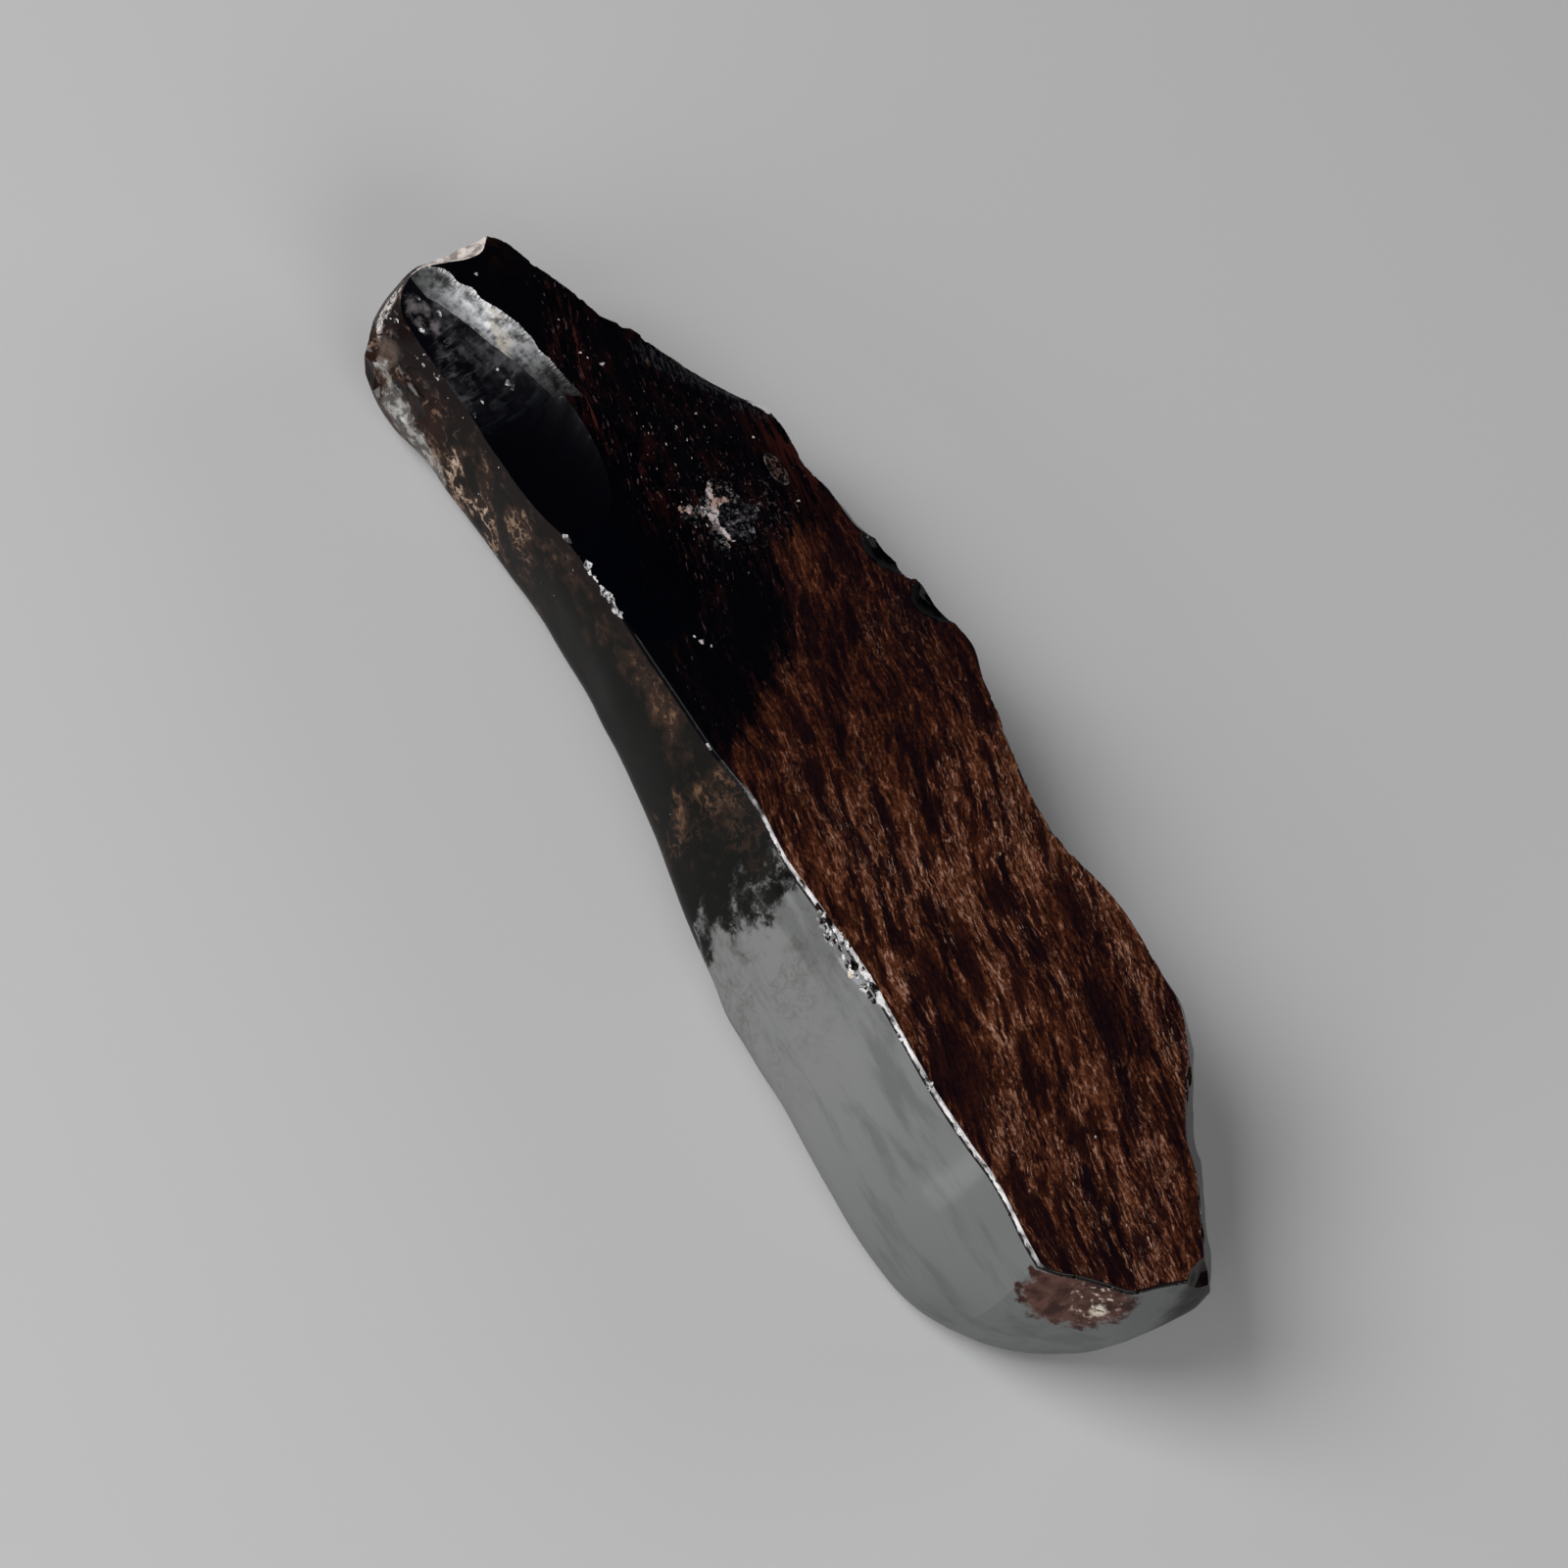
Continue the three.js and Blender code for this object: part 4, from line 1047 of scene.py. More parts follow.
def smoke_and_painted_reflection_grey(g, c):
    """The clouded glass of the lower end, whose light grey is painted reflection of the bright surroundings, with
    darker drawn-out clouds in it.
    """
    col = g.mix(g.fade(c["x"], -28.0, -62.0), (0.158, 0.162, 0.159), (0.118, 0.122, 0.120))
    veil = g.noise(g.vec("MULTIPLY", c["p"], (0.05, 0.24, 0.24)), 1.0, 5.0, 0.6)
    return g.mix(g.mul(g.fade(veil, 0.48, 0.64), 0.50), col, (0.072, 0.075, 0.074))


# The glassy side.
g = Nodes(MATS[T["wall"]])
c = coords(g)
amount, cloud = vein_wall(g, c)
rise = g.mul(g.math("SUBTRACT", c["z"], 5.0), 1 / 15.0)
strength = g.curve(c["x"], -80.0, 84.0, [(-80, 0.02), (-30, 0.02), (-10, 0.06), (-2, 0.40), (8, 0.80), (16, 0.75), (26, 0.75), (36, 0.85), (46, 0.95), (56, 1.0), (70, 0.8), (84, 0.7)], 0.0, 1.0)
upper = g.fade(g.plus(rise, g.mul(g.math("SUBTRACT", g.noise(c["p"], 0.20, 3.0), 0.5), 1.1)), g.curve(c["x"], 0.0, 60.0, [(0, 0.05), (12, 0.45), (34, 0.45), (46, 0.1), (60, 0.0)], 0.0, 1.0), 0.85)
strength = g.mul(strength, g.math("MINIMUM", 1.0, g.plus(g.plus(g.mul(upper, 0.9), 0.17), g.plus(g.fade(c["x"], 34, 48), g.fade(oval(g, c, 4.5, 9.0, 4.0, 12.0, 0), 0.0, 0.6)))))
base = g.mix(g.noise(c["p"], 0.20, 3.0), (0.0012, 0.0014, 0.0012), (0.0056, 0.0054, 0.0042))
border = g.plus(c["x"], g.plus(g.mul(g.math("SUBTRACT", g.noise(c["p"], 0.20, 5.0, 0.66), 0.5), 26.0), g.mul(amount, 2.5)))
# Painted reflection: the lower end of the side is light grey, with a ragged border against the dark side and veins over
# it.
smoke_and_painted_reflection_mask = g.curve(border, -80.0, 84.0, [(-80, 1.0), (-11, 1.0), (-9.3, 0.8), (-8, 0.15), (-6.5, 0.0), (84, 0.0)], 0.0, 1.0)
smoke_and_painted_reflection_col = g.mix(g.mul(g.mul(amount, g.fade(c["x"], -40.0, -10.0)), 0.55), smoke_and_painted_reflection_grey(g, c), (0.050, 0.042, 0.036))
base = g.mix(smoke_and_painted_reflection_mask, base, smoke_and_painted_reflection_col)
# Lighter brown towards the tip: partly painted reflection; the same mask also makes that part rougher.
rough_haze_and_painted_reflection = g.fade(c["x"], 26.0, 56.0)
base = g.mix(g.mul(rough_haze_and_painted_reflection, g.fade(cloud, 0.36, 0.64, 0.10, 1.0)), base, (0.0120, 0.0070, 0.0055))
band = g.mul(g.mul(upper, g.fade(c["x"], 2.0, 10.0)), g.fade(cloud, 0.36, 0.58))
base = g.mix(g.mul(band, 0.8), base, (0.030, 0.0160, 0.0100))
stain = g.mul(amount, strength)
col = g.mix(g.fade(stain, 0.03, 0.30), base, g.mix(g.noise(c["p"], 0.3, 3.0), (0.007, 0.0042, 0.0032), (0.034, 0.0180, 0.0112)))
col = g.mix(g.fade(stain, 0.26, 0.85), col, g.mix(g.fade(c["x"], 34.0, 50.0), (0.13, 0.072, 0.040), (0.19, 0.125, 0.085)))
# Painted reflection: the veins made brighter near the lower edge of the side.
painted_vein_reflection = g.mul(g.fade(stain, 0.35, 0.80), near_line(g, c, [(58.0, 7.8, 7.6), (55.0, 7.3, 7.5), (52.0, 6.8, 7.0)], 3.2, 0.6))
col = g.mix(g.mul(painted_vein_reflection, 0.85), col, (0.40, 0.30, 0.23))
tipward = g.fade(c["x"], 58.0, 67.0)
lump = g.noise(c["p"], 0.27, 3.0, 0.5)
col = g.mix(g.mul(tipward, g.fade(lump, 0.45, 0.52, 0.35, 0.95)), col, g.mix(g.noise(c["p"], 0.8, 3.0, 0.6), (0.0050, 0.0024, 0.0020), (0.028, 0.0115, 0.0085)))
crack = g.mul(g.fade(lump, 0.440, 0.462), g.fade(lump, 0.505, 0.478))
col = g.mix(g.mul(g.mul(crack, tipward), g.fade(g.noise(c["p"], 0.9, 3.0, 0.6), 0.44, 0.60, 0.0, 0.75)), col, (0.17, 0.115, 0.090))
# Painted shade: darker along the top edge of the side, where it meets the shells and the face.
painted_shade_along_edge = near_line(g, c, [(77.0, 6.8, 15.4), (71.4, 7.6, 14.6), (66.9, 7.0, 15.2), (61.0, 6.3, 15.4), (55.0, 6.4, 16.0), (51.3, 6.6, 16.0), (45.4, 6.8, 16.9), (38.0, 6.0, 18.6), (20.8, 6.0, 19.6), (6.0, 5.6, 20.4)], 2.0, 0.8)
col = g.mix(g.mul(painted_shade_along_edge, g.fade(c["x"], 4.0, 30.0, 0.3, 0.9)), col, (0.0060, 0.0036, 0.0034))
# Painted shade: a darker band just below the top edge near the tip.
painted_shade_below_edge = near_line(g, c, [(76.6, 7.2, 14.6), (71.4, 7.8, 13.4), (66.9, 7.2, 13.8), (61.0, 6.5, 14.6)], 2.8, 1.1)
col = g.mix(g.mul(painted_shade_below_edge, 0.75), col, (0.0062, 0.0036, 0.0034))
mottle = g.fade(g.noise(c["p"], 0.7, 4.0, 0.66), 0.44, 0.58)
# Painted reflection: a mottled light grey band along the lower edge of the side near the tip.
painted_silhouette_reflection = near_line(g, c, [(73.2, 10.2, 9.0), (70.4, 9.8, 7.6), (67.0, 9.2, 6.2), (63.5, 8.2, 4.6), (60.0, 7.5, 3.4)], 2.3, 0.6)
col = g.mix(g.mul(painted_silhouette_reflection, g.plus(0.25, g.mul(mottle, 0.75))), col, (0.27, 0.262, 0.25))
frost = near_line(g, c, RIMLINE, 1.5, 0.9)
col = g.mix(g.mul(frost, g.fade(g.noise(c["p"], 0.9, 4.0, 0.65), 0.42, 0.56)), col, (0.52, 0.47, 0.45))
dots = g.math("MAXIMUM", sparks(g, c, 0.36, 0.14, 2.0, 0.4), sparks(g, c, 0.8, 0.08, 4.0, 0.30))
col = g.mix(g.mul(g.mul(dots, g.fade(c["x"], -6.0, 6.0)), 0.8), col, (0.50, 0.47, 0.44))
silver = near_line(g, c, [(-16.4, 5.7, 20.9), (-20.5, 5.9, 20.6), (-24.6, 5.8, 20.7), (-28.2, 5.3, 21.4)], 0.8, 0.6)
col = g.mix(g.mul(silver, g.fade(g.noise(c["p"], 0.8, 3.0, 0.60), 0.46, 0.58)), col, (0.24, 0.24, 0.25))
n2 = g.noise(c["p"], 1.4, 3.0, 0.6)
col = lobe(g, c, col, n2)
shader(g, col, g.fade(rough_haze_and_painted_reflection, 0.0, 1.0, 0.16, 0.38), 0.32, 0.14, g.mul(g.noise(c["p"], 0.5, 4.0, 0.55), g.fade(c["x"], -8.0, 30.0, 0.15, 1.0)), 0.12, 0.10, spec=0.0)

# The blunt end: reddish, slightly clouded, with the light grey painted reflection of the lower end on its glassy part.
g = Nodes(MATS[T["blunt"]])
c = coords(g)
n1, n2 = g.noise(c["p"], 0.35, 4.0, 0.6), g.noise(c["p"], 1.4, 3.0, 0.6)
# Painted reflection: light grey on the part of the end towards the glassy side, dark on the rest.
col = g.mix(g.fade(g.plus(c["y"], g.mul(n1, 6.0)), -2.0, -8.0), smoke_and_painted_reflection_grey(g, c), g.mix(n1, (0.004, 0.003, 0.004), (0.016, 0.010, 0.012)))
col = lobe(g, c, col, n2)
shader(g, col, 0.18, 0.4, 0.10, n1, 0.12, 0.10)

# The rough side and the break-outs round the back.
g = Nodes(MATS[T["rough"]])
c = coords(g)
amount, cloud = vein_wall(g, c)
base = g.mix(g.noise(c["p"], 0.12, 3.0), (0.0030, 0.0026, 0.0026), (0.011, 0.0070, 0.0055))
fb, ft = brown(g, c)
tint = g.fade(g.noise(c["p"], 0.09, 3.0), 0.42, 0.62)
col = g.mix(g.mul(tint, 0.55), base, fb)
col = g.mix(g.mul(amount, 0.16), col, (0.12, 0.07, 0.045))
dust = g.mul(g.fade(g.noise(c["p"], 1.3, 4.0, 0.65), 0.56, 0.72), g.fade(g.noise(c["p"], 0.2, 2.0), 0.45, 0.62))
col = g.mix(g.mul(dust, 0.35), col, (0.20, 0.18, 0.165))
shader(g, col, 0.26, 0.55, 0.07, g.noise(c["p"], 0.9, 5.0, 0.6), 0.35, 0.12)

# The sawn back: a ground surface with the arcs of the saw, and the same colour below.
g = Nodes(MATS[T["back"]])
c = coords(g)
fb, ft = brown(g, c)
arc = g.vec("DISTANCE", g.combine(c["x"], c["y"], 0.0), (-210.0, -260.0, 0.0))
wob = g.plus(arc, g.mul(g.noise(c["p"], 0.05, 1.0), 3.0))
saw = g.noise(g.combine(g.mul(wob, 1.6), g.mul(c["x"], 0.02), 0.0), 1.0, 3.0, 0.6)
col = g.mix(0.55, fb, (0.035, 0.027, 0.023))
col = g.mix(g.mul(g.fade(saw, 0.55, 0.7), 0.5), col, (0.10, 0.085, 0.075))
shader(g, col, g.fade(saw, 0.3, 0.7, 0.42, 0.62), 0.15, 0.3, saw, 0.5, 0.08)

# The worn arris: white along the glassy side of the brown half, partly worn glass and partly painted highlight, with
# painted highlight on the bevel rim and fainter painted highlight on the right side and towards the tip; dark
# elsewhere.
g = Nodes(MATS[T["arris"]])
c = coords(g)
# The white of the edge is partly wear and partly painted highlight; the same noise makes the worn parts rougher.
wear_and_painted_highlight = g.fade(g.noise(g.vec("MULTIPLY", c["p"], (0.5, 1.2, 1.6)), 1.0, 3.0, 0.6), 0.33, 0.58)
glassy = g.mul(g.mul(g.fade(c["y"], 0.0, 2.0), g.fade(c["x"], 3.0, -3.0)), g.fade(c["x"], -65.5, -63.0))
fall = g.math("SUBTRACT", g.plus(g.mul(c["x"], FACE_FALL), FACE_HEIGHT), c["z"])
glassy = g.mul(glassy, g.fade(g.plus(fall, g.mul(g.math("SUBTRACT", g.noise(c["p"], 1.2, 3.0), 0.5), 0.5)), 0.34, 0.16))
rightish = g.mul(g.fade(c["y"], -20.0, -24.0), 0.35)
painted_bevel_rim_highlight = near_line(g, c, [(52.8, -24.2, 18.6), (48.8, -27.4, 18.8), (45.2, -28.9, 19.0)], 1.1, 0.4)
where = g.math("MAXIMUM", g.math("MAXIMUM", glassy, painted_bevel_rim_highlight), g.math("MAXIMUM", g.mul(rightish, 0.5), g.mul(g.fade(c["x"], 56.0, 70.0), 0.3)))
patchy = g.fade(g.noise(g.vec("MULTIPLY", c["p"], (0.18, 0.3, 0.3)), 1.0, 2.0), 0.30, 0.50, 0.25, 1.0)
col = g.mix(g.mul(g.mul(wear_and_painted_highlight, where), patchy), (0.007, 0.005, 0.005), (0.66, 0.64, 0.64))
shader(g, col, g.fade(wear_and_painted_highlight, 0.0, 1.0, 0.10, 0.38), 0.35, 0.10, g.noise(c["p"], 2.2, 3.0), 0.3, 0.08)

# The silver lens: frosted, clouded along its length, with hackles square to its rim. Its silver brightness, strongest
# near the rim and at the middle of its length, is partly frosted glass and partly painted reflection.
g = Nodes(MATS[T["lens"]])
c = coords(g)
s = g.add("ShaderNodeAttribute", attribute_name="rim_along").outputs["Fac"]
t = g.add("ShaderNodeAttribute", attribute_name="rim_in").outputs["Fac"]
comb = g.noise(g.combine(g.mul(s, 3.4), g.mul(t, 0.5), 0.0), 1.0, 2.0, 0.6)
comb2 = g.noise(g.combine(g.mul(s, 1.7), g.mul(t, 0.35), 4.0), 1.0, 3.0, 0.6)
cloud = g.noise(g.combine(g.mul(s, 0.16), g.mul(t, 0.45), 6.0), 1.0, 4.0, 0.6)
mott = g.noise(c["p"], 0.9, 4.0, 0.65)
shift = g.curve(c["x"], 54.0, 82.0, [(54, 0.0), (60, 0.3), (66, 1.5), (69, 1.4), (72, -0.1), (76, -0.5), (82, -0.5)], -1.0, 2.0)
depth = g.plus(g.math("SUBTRACT", t, shift), g.mul(g.math("SUBTRACT", mott, 0.5), 1.6))
# Brightness across and along the lens: partly frosted glass, partly painted reflection.
across = g.curve(depth, -2.0, 8.0, [(-2, 0.8), (0, 0.95), (1.5, 1.0), (2.2, 0.80), (3.0, 0.50), (4.0, 0.30), (5.2, 0.17), (8, 0.08)], 0.0, 1.0)
along = g.curve(c["x"], 52.0, 84.0, [(52, 0.002), (56, 0.006), (58, 0.014), (60, 0.030), (62, 0.060), (64, 0.095), (66, 0.145), (68, 0.25), (70, 0.35), (72, 0.36), (74, 0.33), (76, 0.25), (78, 0.10), (80, 0.03), (84, 0.02)], 0.0, 0.5)
tone = g.plus(g.plus(g.mul(cloud, 0.42), g.mul(mott, 0.40)), g.mul(comb2, 0.18))
level = g.mul(g.mul(across, along), g.fade(tone, 0.40, 0.60, 0.25, 2.35))
col = g.vec("MULTIPLY", g.combine(level, level, level), (0.99, 1.0, 1.02))
gold = g.mul(g.fade(oval(g, c, 68.8, -2.6, 5.0, 1.3, -14), 0.0, 0.7), g.fade(cloud, 0.40, 0.58))
col = g.mix(g.mul(gold, 0.75), col, (0.42, 0.365, 0.30))
# Brighter hackle teeth at the rim: partly frosted glass, partly painted reflection.
rim_frost_and_painted_reflection = g.curve(c["x"], 52.0, 84.0, [(52, 0.004), (56, 0.014), (58, 0.022), (60, 0.050), (62, 0.170), (64, 0.40), (66, 0.30), (68, 0.24), (71, 0.33), (73, 0.42), (76, 0.42), (79, 0.28), (84, 0.05)], 0.0, 0.5)
reach = g.plus(0.25, g.mul(g.noise(g.combine(g.mul(s, 2.2), 0.0, 8.0), 1.0, 2.0), 1.1))
rim = g.mul(g.fade(t, reach, 0.02), g.fade(g.noise(g.combine(g.mul(s, 0.45), 0.0, 9.0), 1.0, 2.0), 0.40, 0.56, 0.25, 1.0))
tooth = g.mul(rim_frost_and_painted_reflection, g.fade(comb, 0.40, 0.62, 0.40, 2.4))
col = g.mix(rim, col, g.combine(tooth, tooth, tooth))
shader(g, col, 0.42, 0.20, 0.18, g.plus(g.mul(comb, g.fade(t, 1.2, 0.0, 0.05, 0.6)), mott), 0.3, 0.10, spec=0.08)

# The dark rippled shells, with painted reflection as soft grey and bluish patches towards the tip.
g = Nodes(MATS[T["shell"]])
c = coords(g)
mott = g.noise(c["p"], 0.55, 5.0, 0.62)
away = g.vec("DISTANCE", g.combine(c["x"], c["y"], 0.0), (83.0, 7.0, 0.0))
turnto = g.math("ARCTAN2", g.math("SUBTRACT", c["y"], 7.0), g.math("SUBTRACT", 83.0, c["x"]))
plume = g.noise(g.combine(g.mul(turnto, 9.0), g.mul(away, 0.10), g.mul(g.noise(c["p"], 0.2, 2.0), 1.2)), 1.0, 4.0, 0.62)
swirl = g.noise(g.combine(g.mul(away, 1.3), g.mul(turnto, 5.0), 3.0), 1.0, 3.0, 0.6)
tipward = g.fade(c["x"], 57.5, 65.0)
inner = g.fade(g.plus(g.mul(c["y"], 0.9), g.mul(c["x"], 0.42)), 35.2, 32.8)
patchy = g.fade(g.noise(c["p"], 0.33, 3.0, 0.6), 0.42, 0.60)
col = g.mix(mott, (0.0004, 0.0005, 0.0012), (0.0020, 0.0021, 0.0034))
# Painted reflection: soft grey patches towards the tip, bluish ones further back, and a grey patch near the tip corner.
grey = g.mul(g.mul(tipward, inner), g.plus(0.22, g.mul(patchy, 0.78)))
col = g.mix(g.mul(grey, g.fade(g.plus(g.mul(mott, 0.5), g.mul(plume, 0.5)), 0.42, 0.62, 0.0, 0.9)), col, (0.050, 0.050, 0.055))
col = g.mix(g.mul(g.mul(grey, g.fade(swirl, 0.54, 0.66)), 0.7), col, (0.085, 0.080, 0.082))
low = g.mul(g.fade(c["x"], 64.0, 60.0), g.fade(c["x"], 51.0, 59.0))
col = g.mix(g.mul(g.mul(low, g.fade(swirl, 0.45, 0.70)), patchy), col, (0.013, 0.015, 0.019))
col = g.mix(g.fade(c["x"], 62.0, 54.0), col, g.mix(mott, (0.0003, 0.0003, 0.0009), (0.0010, 0.0011, 0.0022)))
corner = g.mul(g.fade(g.plus(oval(g, c, 74.6, 4.9, 3.6, 1.5, 10), g.mul(g.math("SUBTRACT", mott, 0.5), 2.0)), 0.0, 0.9), g.fade(mott, 0.40, 0.66))
col = g.mix(corner, col, (0.110, 0.098, 0.100))
dots = sparks(g, c, 0.6, 0.14, 12.0, 0.22)
col = g.mix(g.mul(dots, tipward), col, (0.4, 0.4, 0.4))
shader(g, col, 0.4, 0.45, 0.10, mott, 0.15, 0.05, spec=0.02)

g = Nodes(MATS[T["dish"]])
c = coords(g)
mott = g.noise(c["p"], 0.25, 3.0, 0.5)
bk = black(g, c)
col = g.mix(mott, (0.0003, 0.0004, 0.0011), (0.0010, 0.0013, 0.0026))
col = g.mix(g.fade(g.plus(c["y"], g.mul(mott, 6.0)), 4.0, -2.5), col, bk)
col = g.mix(sparks(g, c, 0.42, 0.13, 15.0, 0.3), col, (0.30, 0.30, 0.31))
shader(g, col, 0.45, 0.35, 0.12, g.noise(c["p"], 0.9, 3.0), 0.10, 0.04)

# The crushed pit: pinkish white glass powder with dark gaps.
g = Nodes(MATS[T["pit"]])
c = coords(g)
n1, n2 = g.noise(c["p"], 1.3, 5.0, 0.66), g.noise(c["p"], 0.35, 2.0)
core = g.math("MAXIMUM", near_line(g, c, [(39.8, -14.4, 19.4), (37.4, -14.3, 19.4), (36.0, -13.2, 19.4), (33.6, -12.5, 19.4), (30.6, -12.9, 19.4)], 0.95, 0.95),
              near_line(g, c, [(37.6, -9.0, 19.4), (36.4, -12.0, 19.4), (36.8, -15.4, 19.4)], 0.75, 1.0))
lit = g.mul(g.fade(g.plus(n1, g.fade(core, 0.0, 1.0, -0.07, 0.09)), 0.50, 0.62), g.fade(g.noise(c["p"], 0.75, 3.0, 0.6), 0.38, 0.52, 0.25, 1.0))
pink = g.mix(g.fade(n2, 0.40, 0.60), (0.33, 0.215, 0.180), (0.52, 0.46, 0.45))
hazy = g.mul(g.fade(g.vec("DISTANCE", g.combine(c["x"], c["y"], 0.0), (32.2, -16.2, 0.0)), 4.6, 1.5), g.fade(n1, 0.36, 0.60))
col = g.mix(g.mul(hazy, g.fade(n1, 0.40, 0.62)), (0.0012, 0.0009, 0.0016), (0.034, 0.031, 0.038))
col = g.mix(g.mul(lit, g.fade(core, 0.0, 1.0, 0.30, 1.0)), col, pink)
shader(g, col, 0.42, 0.5, 0.12, n1, 0.6, 0.25)

# Crushed chips, clear to white.
g = Nodes(MATS[T["crush"]])
c = coords(g)
n1 = g.noise(c["p"], 1.5, 4.0, 0.6)
wedge = near_line(g, c, [(-22.6, 5.0, 21.5), (-25.5, 5.0, 21.7), (-28.8, 5.0, 21.8)], 1.2, 0.6)
col = g.mix(g.fade(g.plus(n1, g.mul(wedge, 0.10)), 0.40, 0.56), (0.030, 0.029, 0.031), (0.56, 0.55, 0.55))
cream = g.fade(g.vec("DISTANCE", c["p"], (-23.6, 6.2, 19.8)), 1.2, 0.5)
col = g.mix(cream, col, (0.60, 0.53, 0.42))
shader(g, col, 0.26, 0.7, 0.08, n1, 0.5, 0.2)

# The pale chip at the tip.
g = Nodes(MATS[T["tip"]])
c = coords(g)
n1, n2 = g.noise(c["p"], 0.9, 4.0, 0.6), g.noise(c["p"], 0.3, 2.0)
col = g.mix(n1, (0.52, 0.44, 0.39), (0.74, 0.69, 0.65))
col = g.mix(g.fade(g.noise(c["p"], 0.55, 4.0, 0.6), 0.48, 0.64), col, (0.26, 0.215, 0.20))
col = g.mix(g.fade(g.noise(c["p"], 1.6, 3.0), 0.58, 0.68), col, (0.16, 0.105, 0.085))
shader(g, col, 0.42, 0.5, 0.15, n1, 0.5, 0.2)

# Translucent brown facets.
g = Nodes(MATS[T["facet"]])
c = coords(g)
n1, n2 = g.noise(c["p"], 0.45, 4.0, 0.6), g.noise(c["p"], 1.3, 4.0, 0.6)
col = g.mix(g.fade(n1, 0.38, 0.66), (0.0035, 0.0022, 0.0022), (0.019, 0.0098, 0.0078))
warm = g.fade(g.vec("DISTANCE", c["p"], (74.4, 9.2, 11.0)), 3.0, 1.6)
col = g.mix(g.mul(warm, g.fade(n2, 0.34, 0.60, 0.5, 1.0)), col, (0.078, 0.054, 0.042))
warm2 = g.fade(g.vec("DISTANCE", c["p"], (64.8, 7.4, 12.0)), 2.4, 0.8)
col = g.mix(g.mul(warm2, g.fade(n2, 0.36, 0.60, 0.2, 1.0)), col, (0.115, 0.058, 0.040))
mottle = g.fade(g.noise(c["p"], 0.7, 4.0, 0.66), 0.44, 0.58)
# Painted reflection: the same mottled light grey band along the lower edge near the tip.
painted_silhouette_reflection = near_line(g, c, [(73.2, 10.2, 9.0), (70.4, 9.8, 7.6), (67.0, 9.2, 6.2), (63.5, 8.2, 4.6), (60.0, 7.5, 3.4)], 2.3, 0.6)
col = g.mix(g.mul(painted_silhouette_reflection, g.plus(0.25, g.mul(mottle, 0.75))), col, (0.27, 0.262, 0.25))
white = near_line(g, c, [(79.6, 5.0, 16.0), (78.4, 7.0, 14.2), (77.2, 8.5, 12.4), (76.2, 9.7, 10.6), (75.0, 10.2, 8.8)], 1.25, 0.5)
col = g.mix(g.mul(white, g.fade(n2, 0.34, 0.50, 0.3, 1.0)), col, (0.60, 0.57, 0.58))
shader(g, col, 0.30, 0.5, 0.10, n1, 0.3, 0.12)

# Scallops of the rough side that reach the face.
g = Nodes(MATS[T["scallop"]])
c = coords(g)
n1 = g.noise(c["p"], 0.6, 4.0, 0.6)
col = g.mix(n1, (0.0005, 0.0006, 0.0012), (0.0026, 0.0026, 0.0034))
# A grey-blue patch on the bevel scar: partly frosted glass, partly painted sheen.
bevel_frost_and_painted_sheen = g.fade(g.vec("DISTANCE", c["p"], (51.5, -24.5, 18.5)), 9.5, 6.0)
fine = g.noise(g.vec("MULTIPLY", c["p"], (0.6, 1.5, 1.5)), 1.2, 4.0, 0.65)
col = g.mix(g.mul(bevel_frost_and_painted_sheen, g.fade(fine, 0.44, 0.64)), col, (0.034, 0.037, 0.042))
# Painted highlight: a white rim along the outer edge of the bevel scar.
rim = near_line(g, c, [(52.4, -25.0, 18.2), (48.8, -27.4, 18.6), (45.2, -28.8, 19.0)], 0.9, 0.5)
col = g.mix(rim, col, (0.62, 0.61, 0.60))
shape = g.plus(oval(g, c, 37.9, -24.2, 2.5, 1.05, -2), g.mul(g.math("SUBTRACT", g.noise(c["p"], 0.9, 3.0, 0.6), 0.5), 0.7))
inside = g.mul(g.fade(shape, 0.20, 0.45), g.fade(g.noise(c["p"], 1.8, 4.0, 0.66), 0.44, 0.62))
col = g.mix(inside, col, (0.075, 0.045, 0.036))
ringline = g.mul(g.fade(g.math("ABSOLUTE", g.math("SUBTRACT", shape, 0.06)), 0.20, 0.06), g.fade(g.noise(c["p"], 0.55, 3.0), 0.44, 0.58, 0.08, 0.8))
near_ring = g.fade(g.vec("DISTANCE", c["p"], (37.9, -24.2, 19.6)), 3.6, 3.0)
col = g.mix(g.mul(ringline, near_ring), col, (0.13, 0.110, 0.100))
shader(g, col, 0.30, 0.08, 0.10, n1, 0.3, 0.10)

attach(stone, "root")
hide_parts("obsidian_stone")

# ---------------------------------------------------------------- floor, lights, camera
floor_me = bpy.data.meshes.new("floor")
floor_me.from_pydata([(-3, -3, 0), (3, -3, 0), (3, 3, 0), (-3, 3, 0)], [], [(0, 1, 2, 3)])
floor = bpy.data.objects.new("floor", floor_me)
bpy.context.scene.collection.objects.link(floor)
fm = bpy.data.materials.new("floor")
g = Nodes(fm)
b = g.add("ShaderNodeBsdfPrincipled")
b.inputs["Base Color"].default_value = (0.50, 0.50, 0.505, 1)
b.inputs["Roughness"].default_value = 0.9
b.inputs["Specular IOR Level"].default_value = 0.1
o = g.add("ShaderNodeOutputMaterial")
g.tree.links.new(b.outputs[0], o.inputs[0])
floor_me.materials.append(fm)

world = bpy.data.worlds.new("studio")
world.use_nodes = True
wt = world.node_tree
wt.nodes["Background"].inputs["Color"].default_value = (0.014, 0.0145, 0.017, 1)
seen_by = wt.nodes.new("ShaderNodeBackground")
seen_by.inputs["Color"].default_value = (0.30, 0.30, 0.305, 1)
ray, pick = wt.nodes.new("ShaderNodeLightPath"), wt.nodes.new("ShaderNodeMixShader")
wt.links.new(ray.outputs["Is Camera Ray"], pick.inputs[0])
wt.links.new(wt.nodes["Background"].outputs[0], pick.inputs[1])
wt.links.new(seen_by.outputs[0], pick.inputs[2])
wt.links.new(pick.outputs[0], wt.nodes["World Output"].inputs[0])
bpy.context.scene.world = world


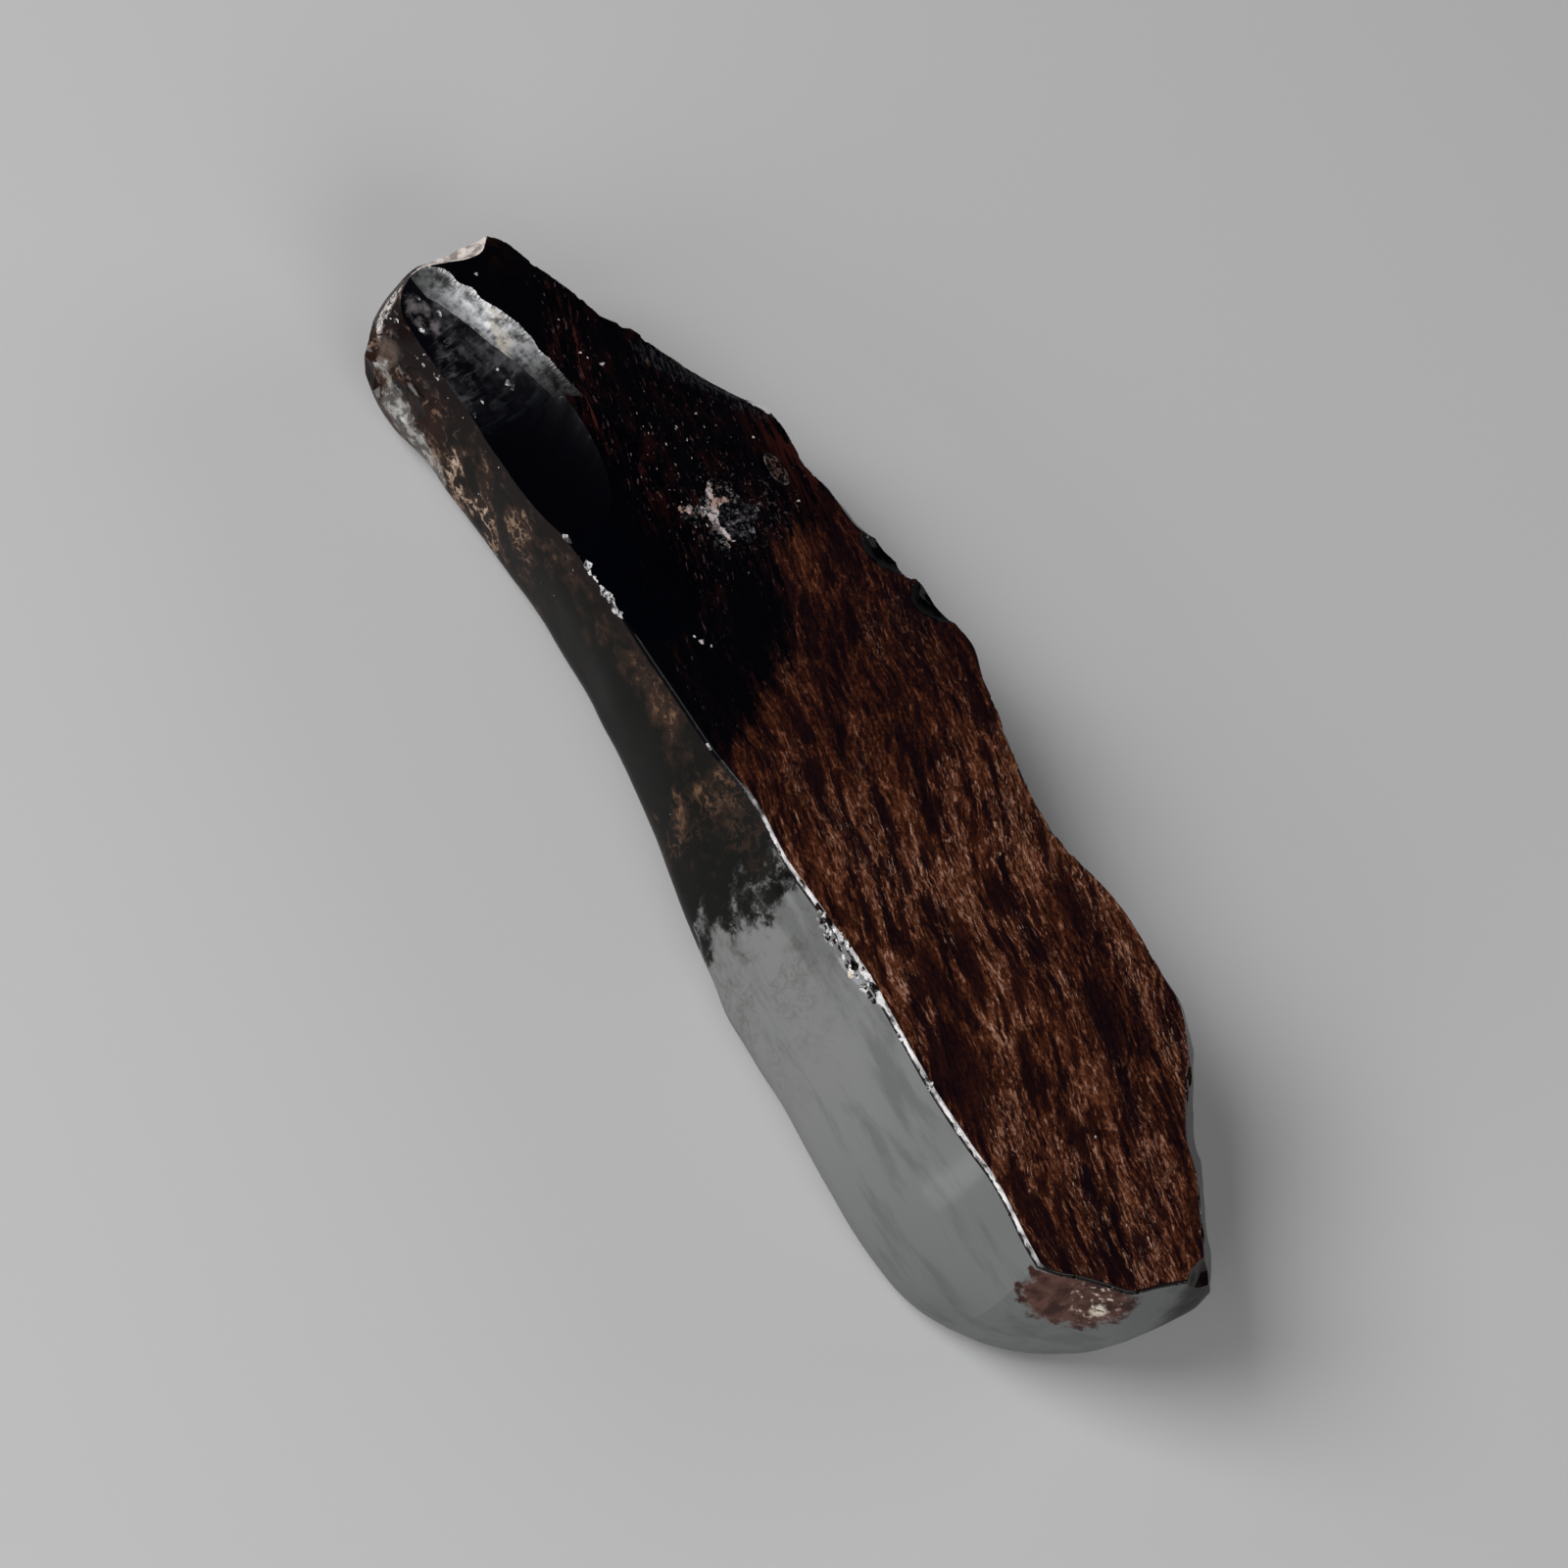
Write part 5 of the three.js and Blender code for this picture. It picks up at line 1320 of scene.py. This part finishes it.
def softbox(name, at, aim, size, radiance, colour=(1, 1, 1)):
    """A rectangular soft light of the given size and radiance, facing aim."""
    data = bpy.data.lights.new(name, "AREA")
    data.shape = "RECTANGLE"
    data.size, data.size_y = size
    data.energy = radiance * math.pi * size[0] * size[1]
    data.color = colour
    ob = bpy.data.objects.new(name, data)
    at, aim = np.array(at, float), np.array(aim, float)
    back = (at - aim) / np.linalg.norm(at - aim)
    side = np.cross((0, 0, 1.0), back)
    side = side / np.linalg.norm(side) if np.linalg.norm(side) > 1e-6 else np.array([1.0, 0, 0])
    up = np.cross(back, side)
    m = Matrix.Identity(4)
    for r in range(3):
        m[r][0], m[r][1], m[r][2], m[r][3] = side[r], up[r], back[r], at[r]
    ob.matrix_world = m
    bpy.context.scene.collection.objects.link(ob)
    return ob


softbox("key", (0.62, 0.85, 0.95), (0.0, 0.0, 0.0), (0.8, 0.8), 9.5)
softbox("low_side", (-0.22, 1.10, 0.30), (-0.02, 0.0, 0.02), (0.7, 0.5), 4.5)
softbox("far_side", (-0.25, -1.15, 0.40), (0.0, 0.0, 0.0), (0.8, 0.5), 3.0)
softbox("far_fill", (-0.95, 0.25, 0.62), (-0.12, 0.0, 0.0), (0.7, 0.5), 4.0)

CAM = np.array([-0.1356540, 0.2652071, 0.4424874])
RIGHT = np.array([-0.5204775, -0.79295584, 0.31673997])
UP = np.array([0.81370503, -0.34816812, 0.46547082])
BACK = np.array([-0.25881905, 0.5, 0.82644583])
cam_data = bpy.data.cameras.new("camera")
cam_data.lens, cam_data.sensor_width = 100.0, 36.0
cam_data.clip_start, cam_data.clip_end = 0.01, 20.0
cam = bpy.data.objects.new("camera", cam_data)
m = Matrix.Identity(4)
for r in range(3):
    m[r][0], m[r][1], m[r][2], m[r][3] = RIGHT[r], UP[r], BACK[r], CAM[r]
cam.matrix_world = m
bpy.context.scene.collection.objects.link(cam)
bpy.context.scene.camera = cam
bpy.context.scene.view_settings.view_transform = "Standard"
bpy.context.scene.view_settings.look = "None"
bpy.context.scene.cycles.use_denoising = True
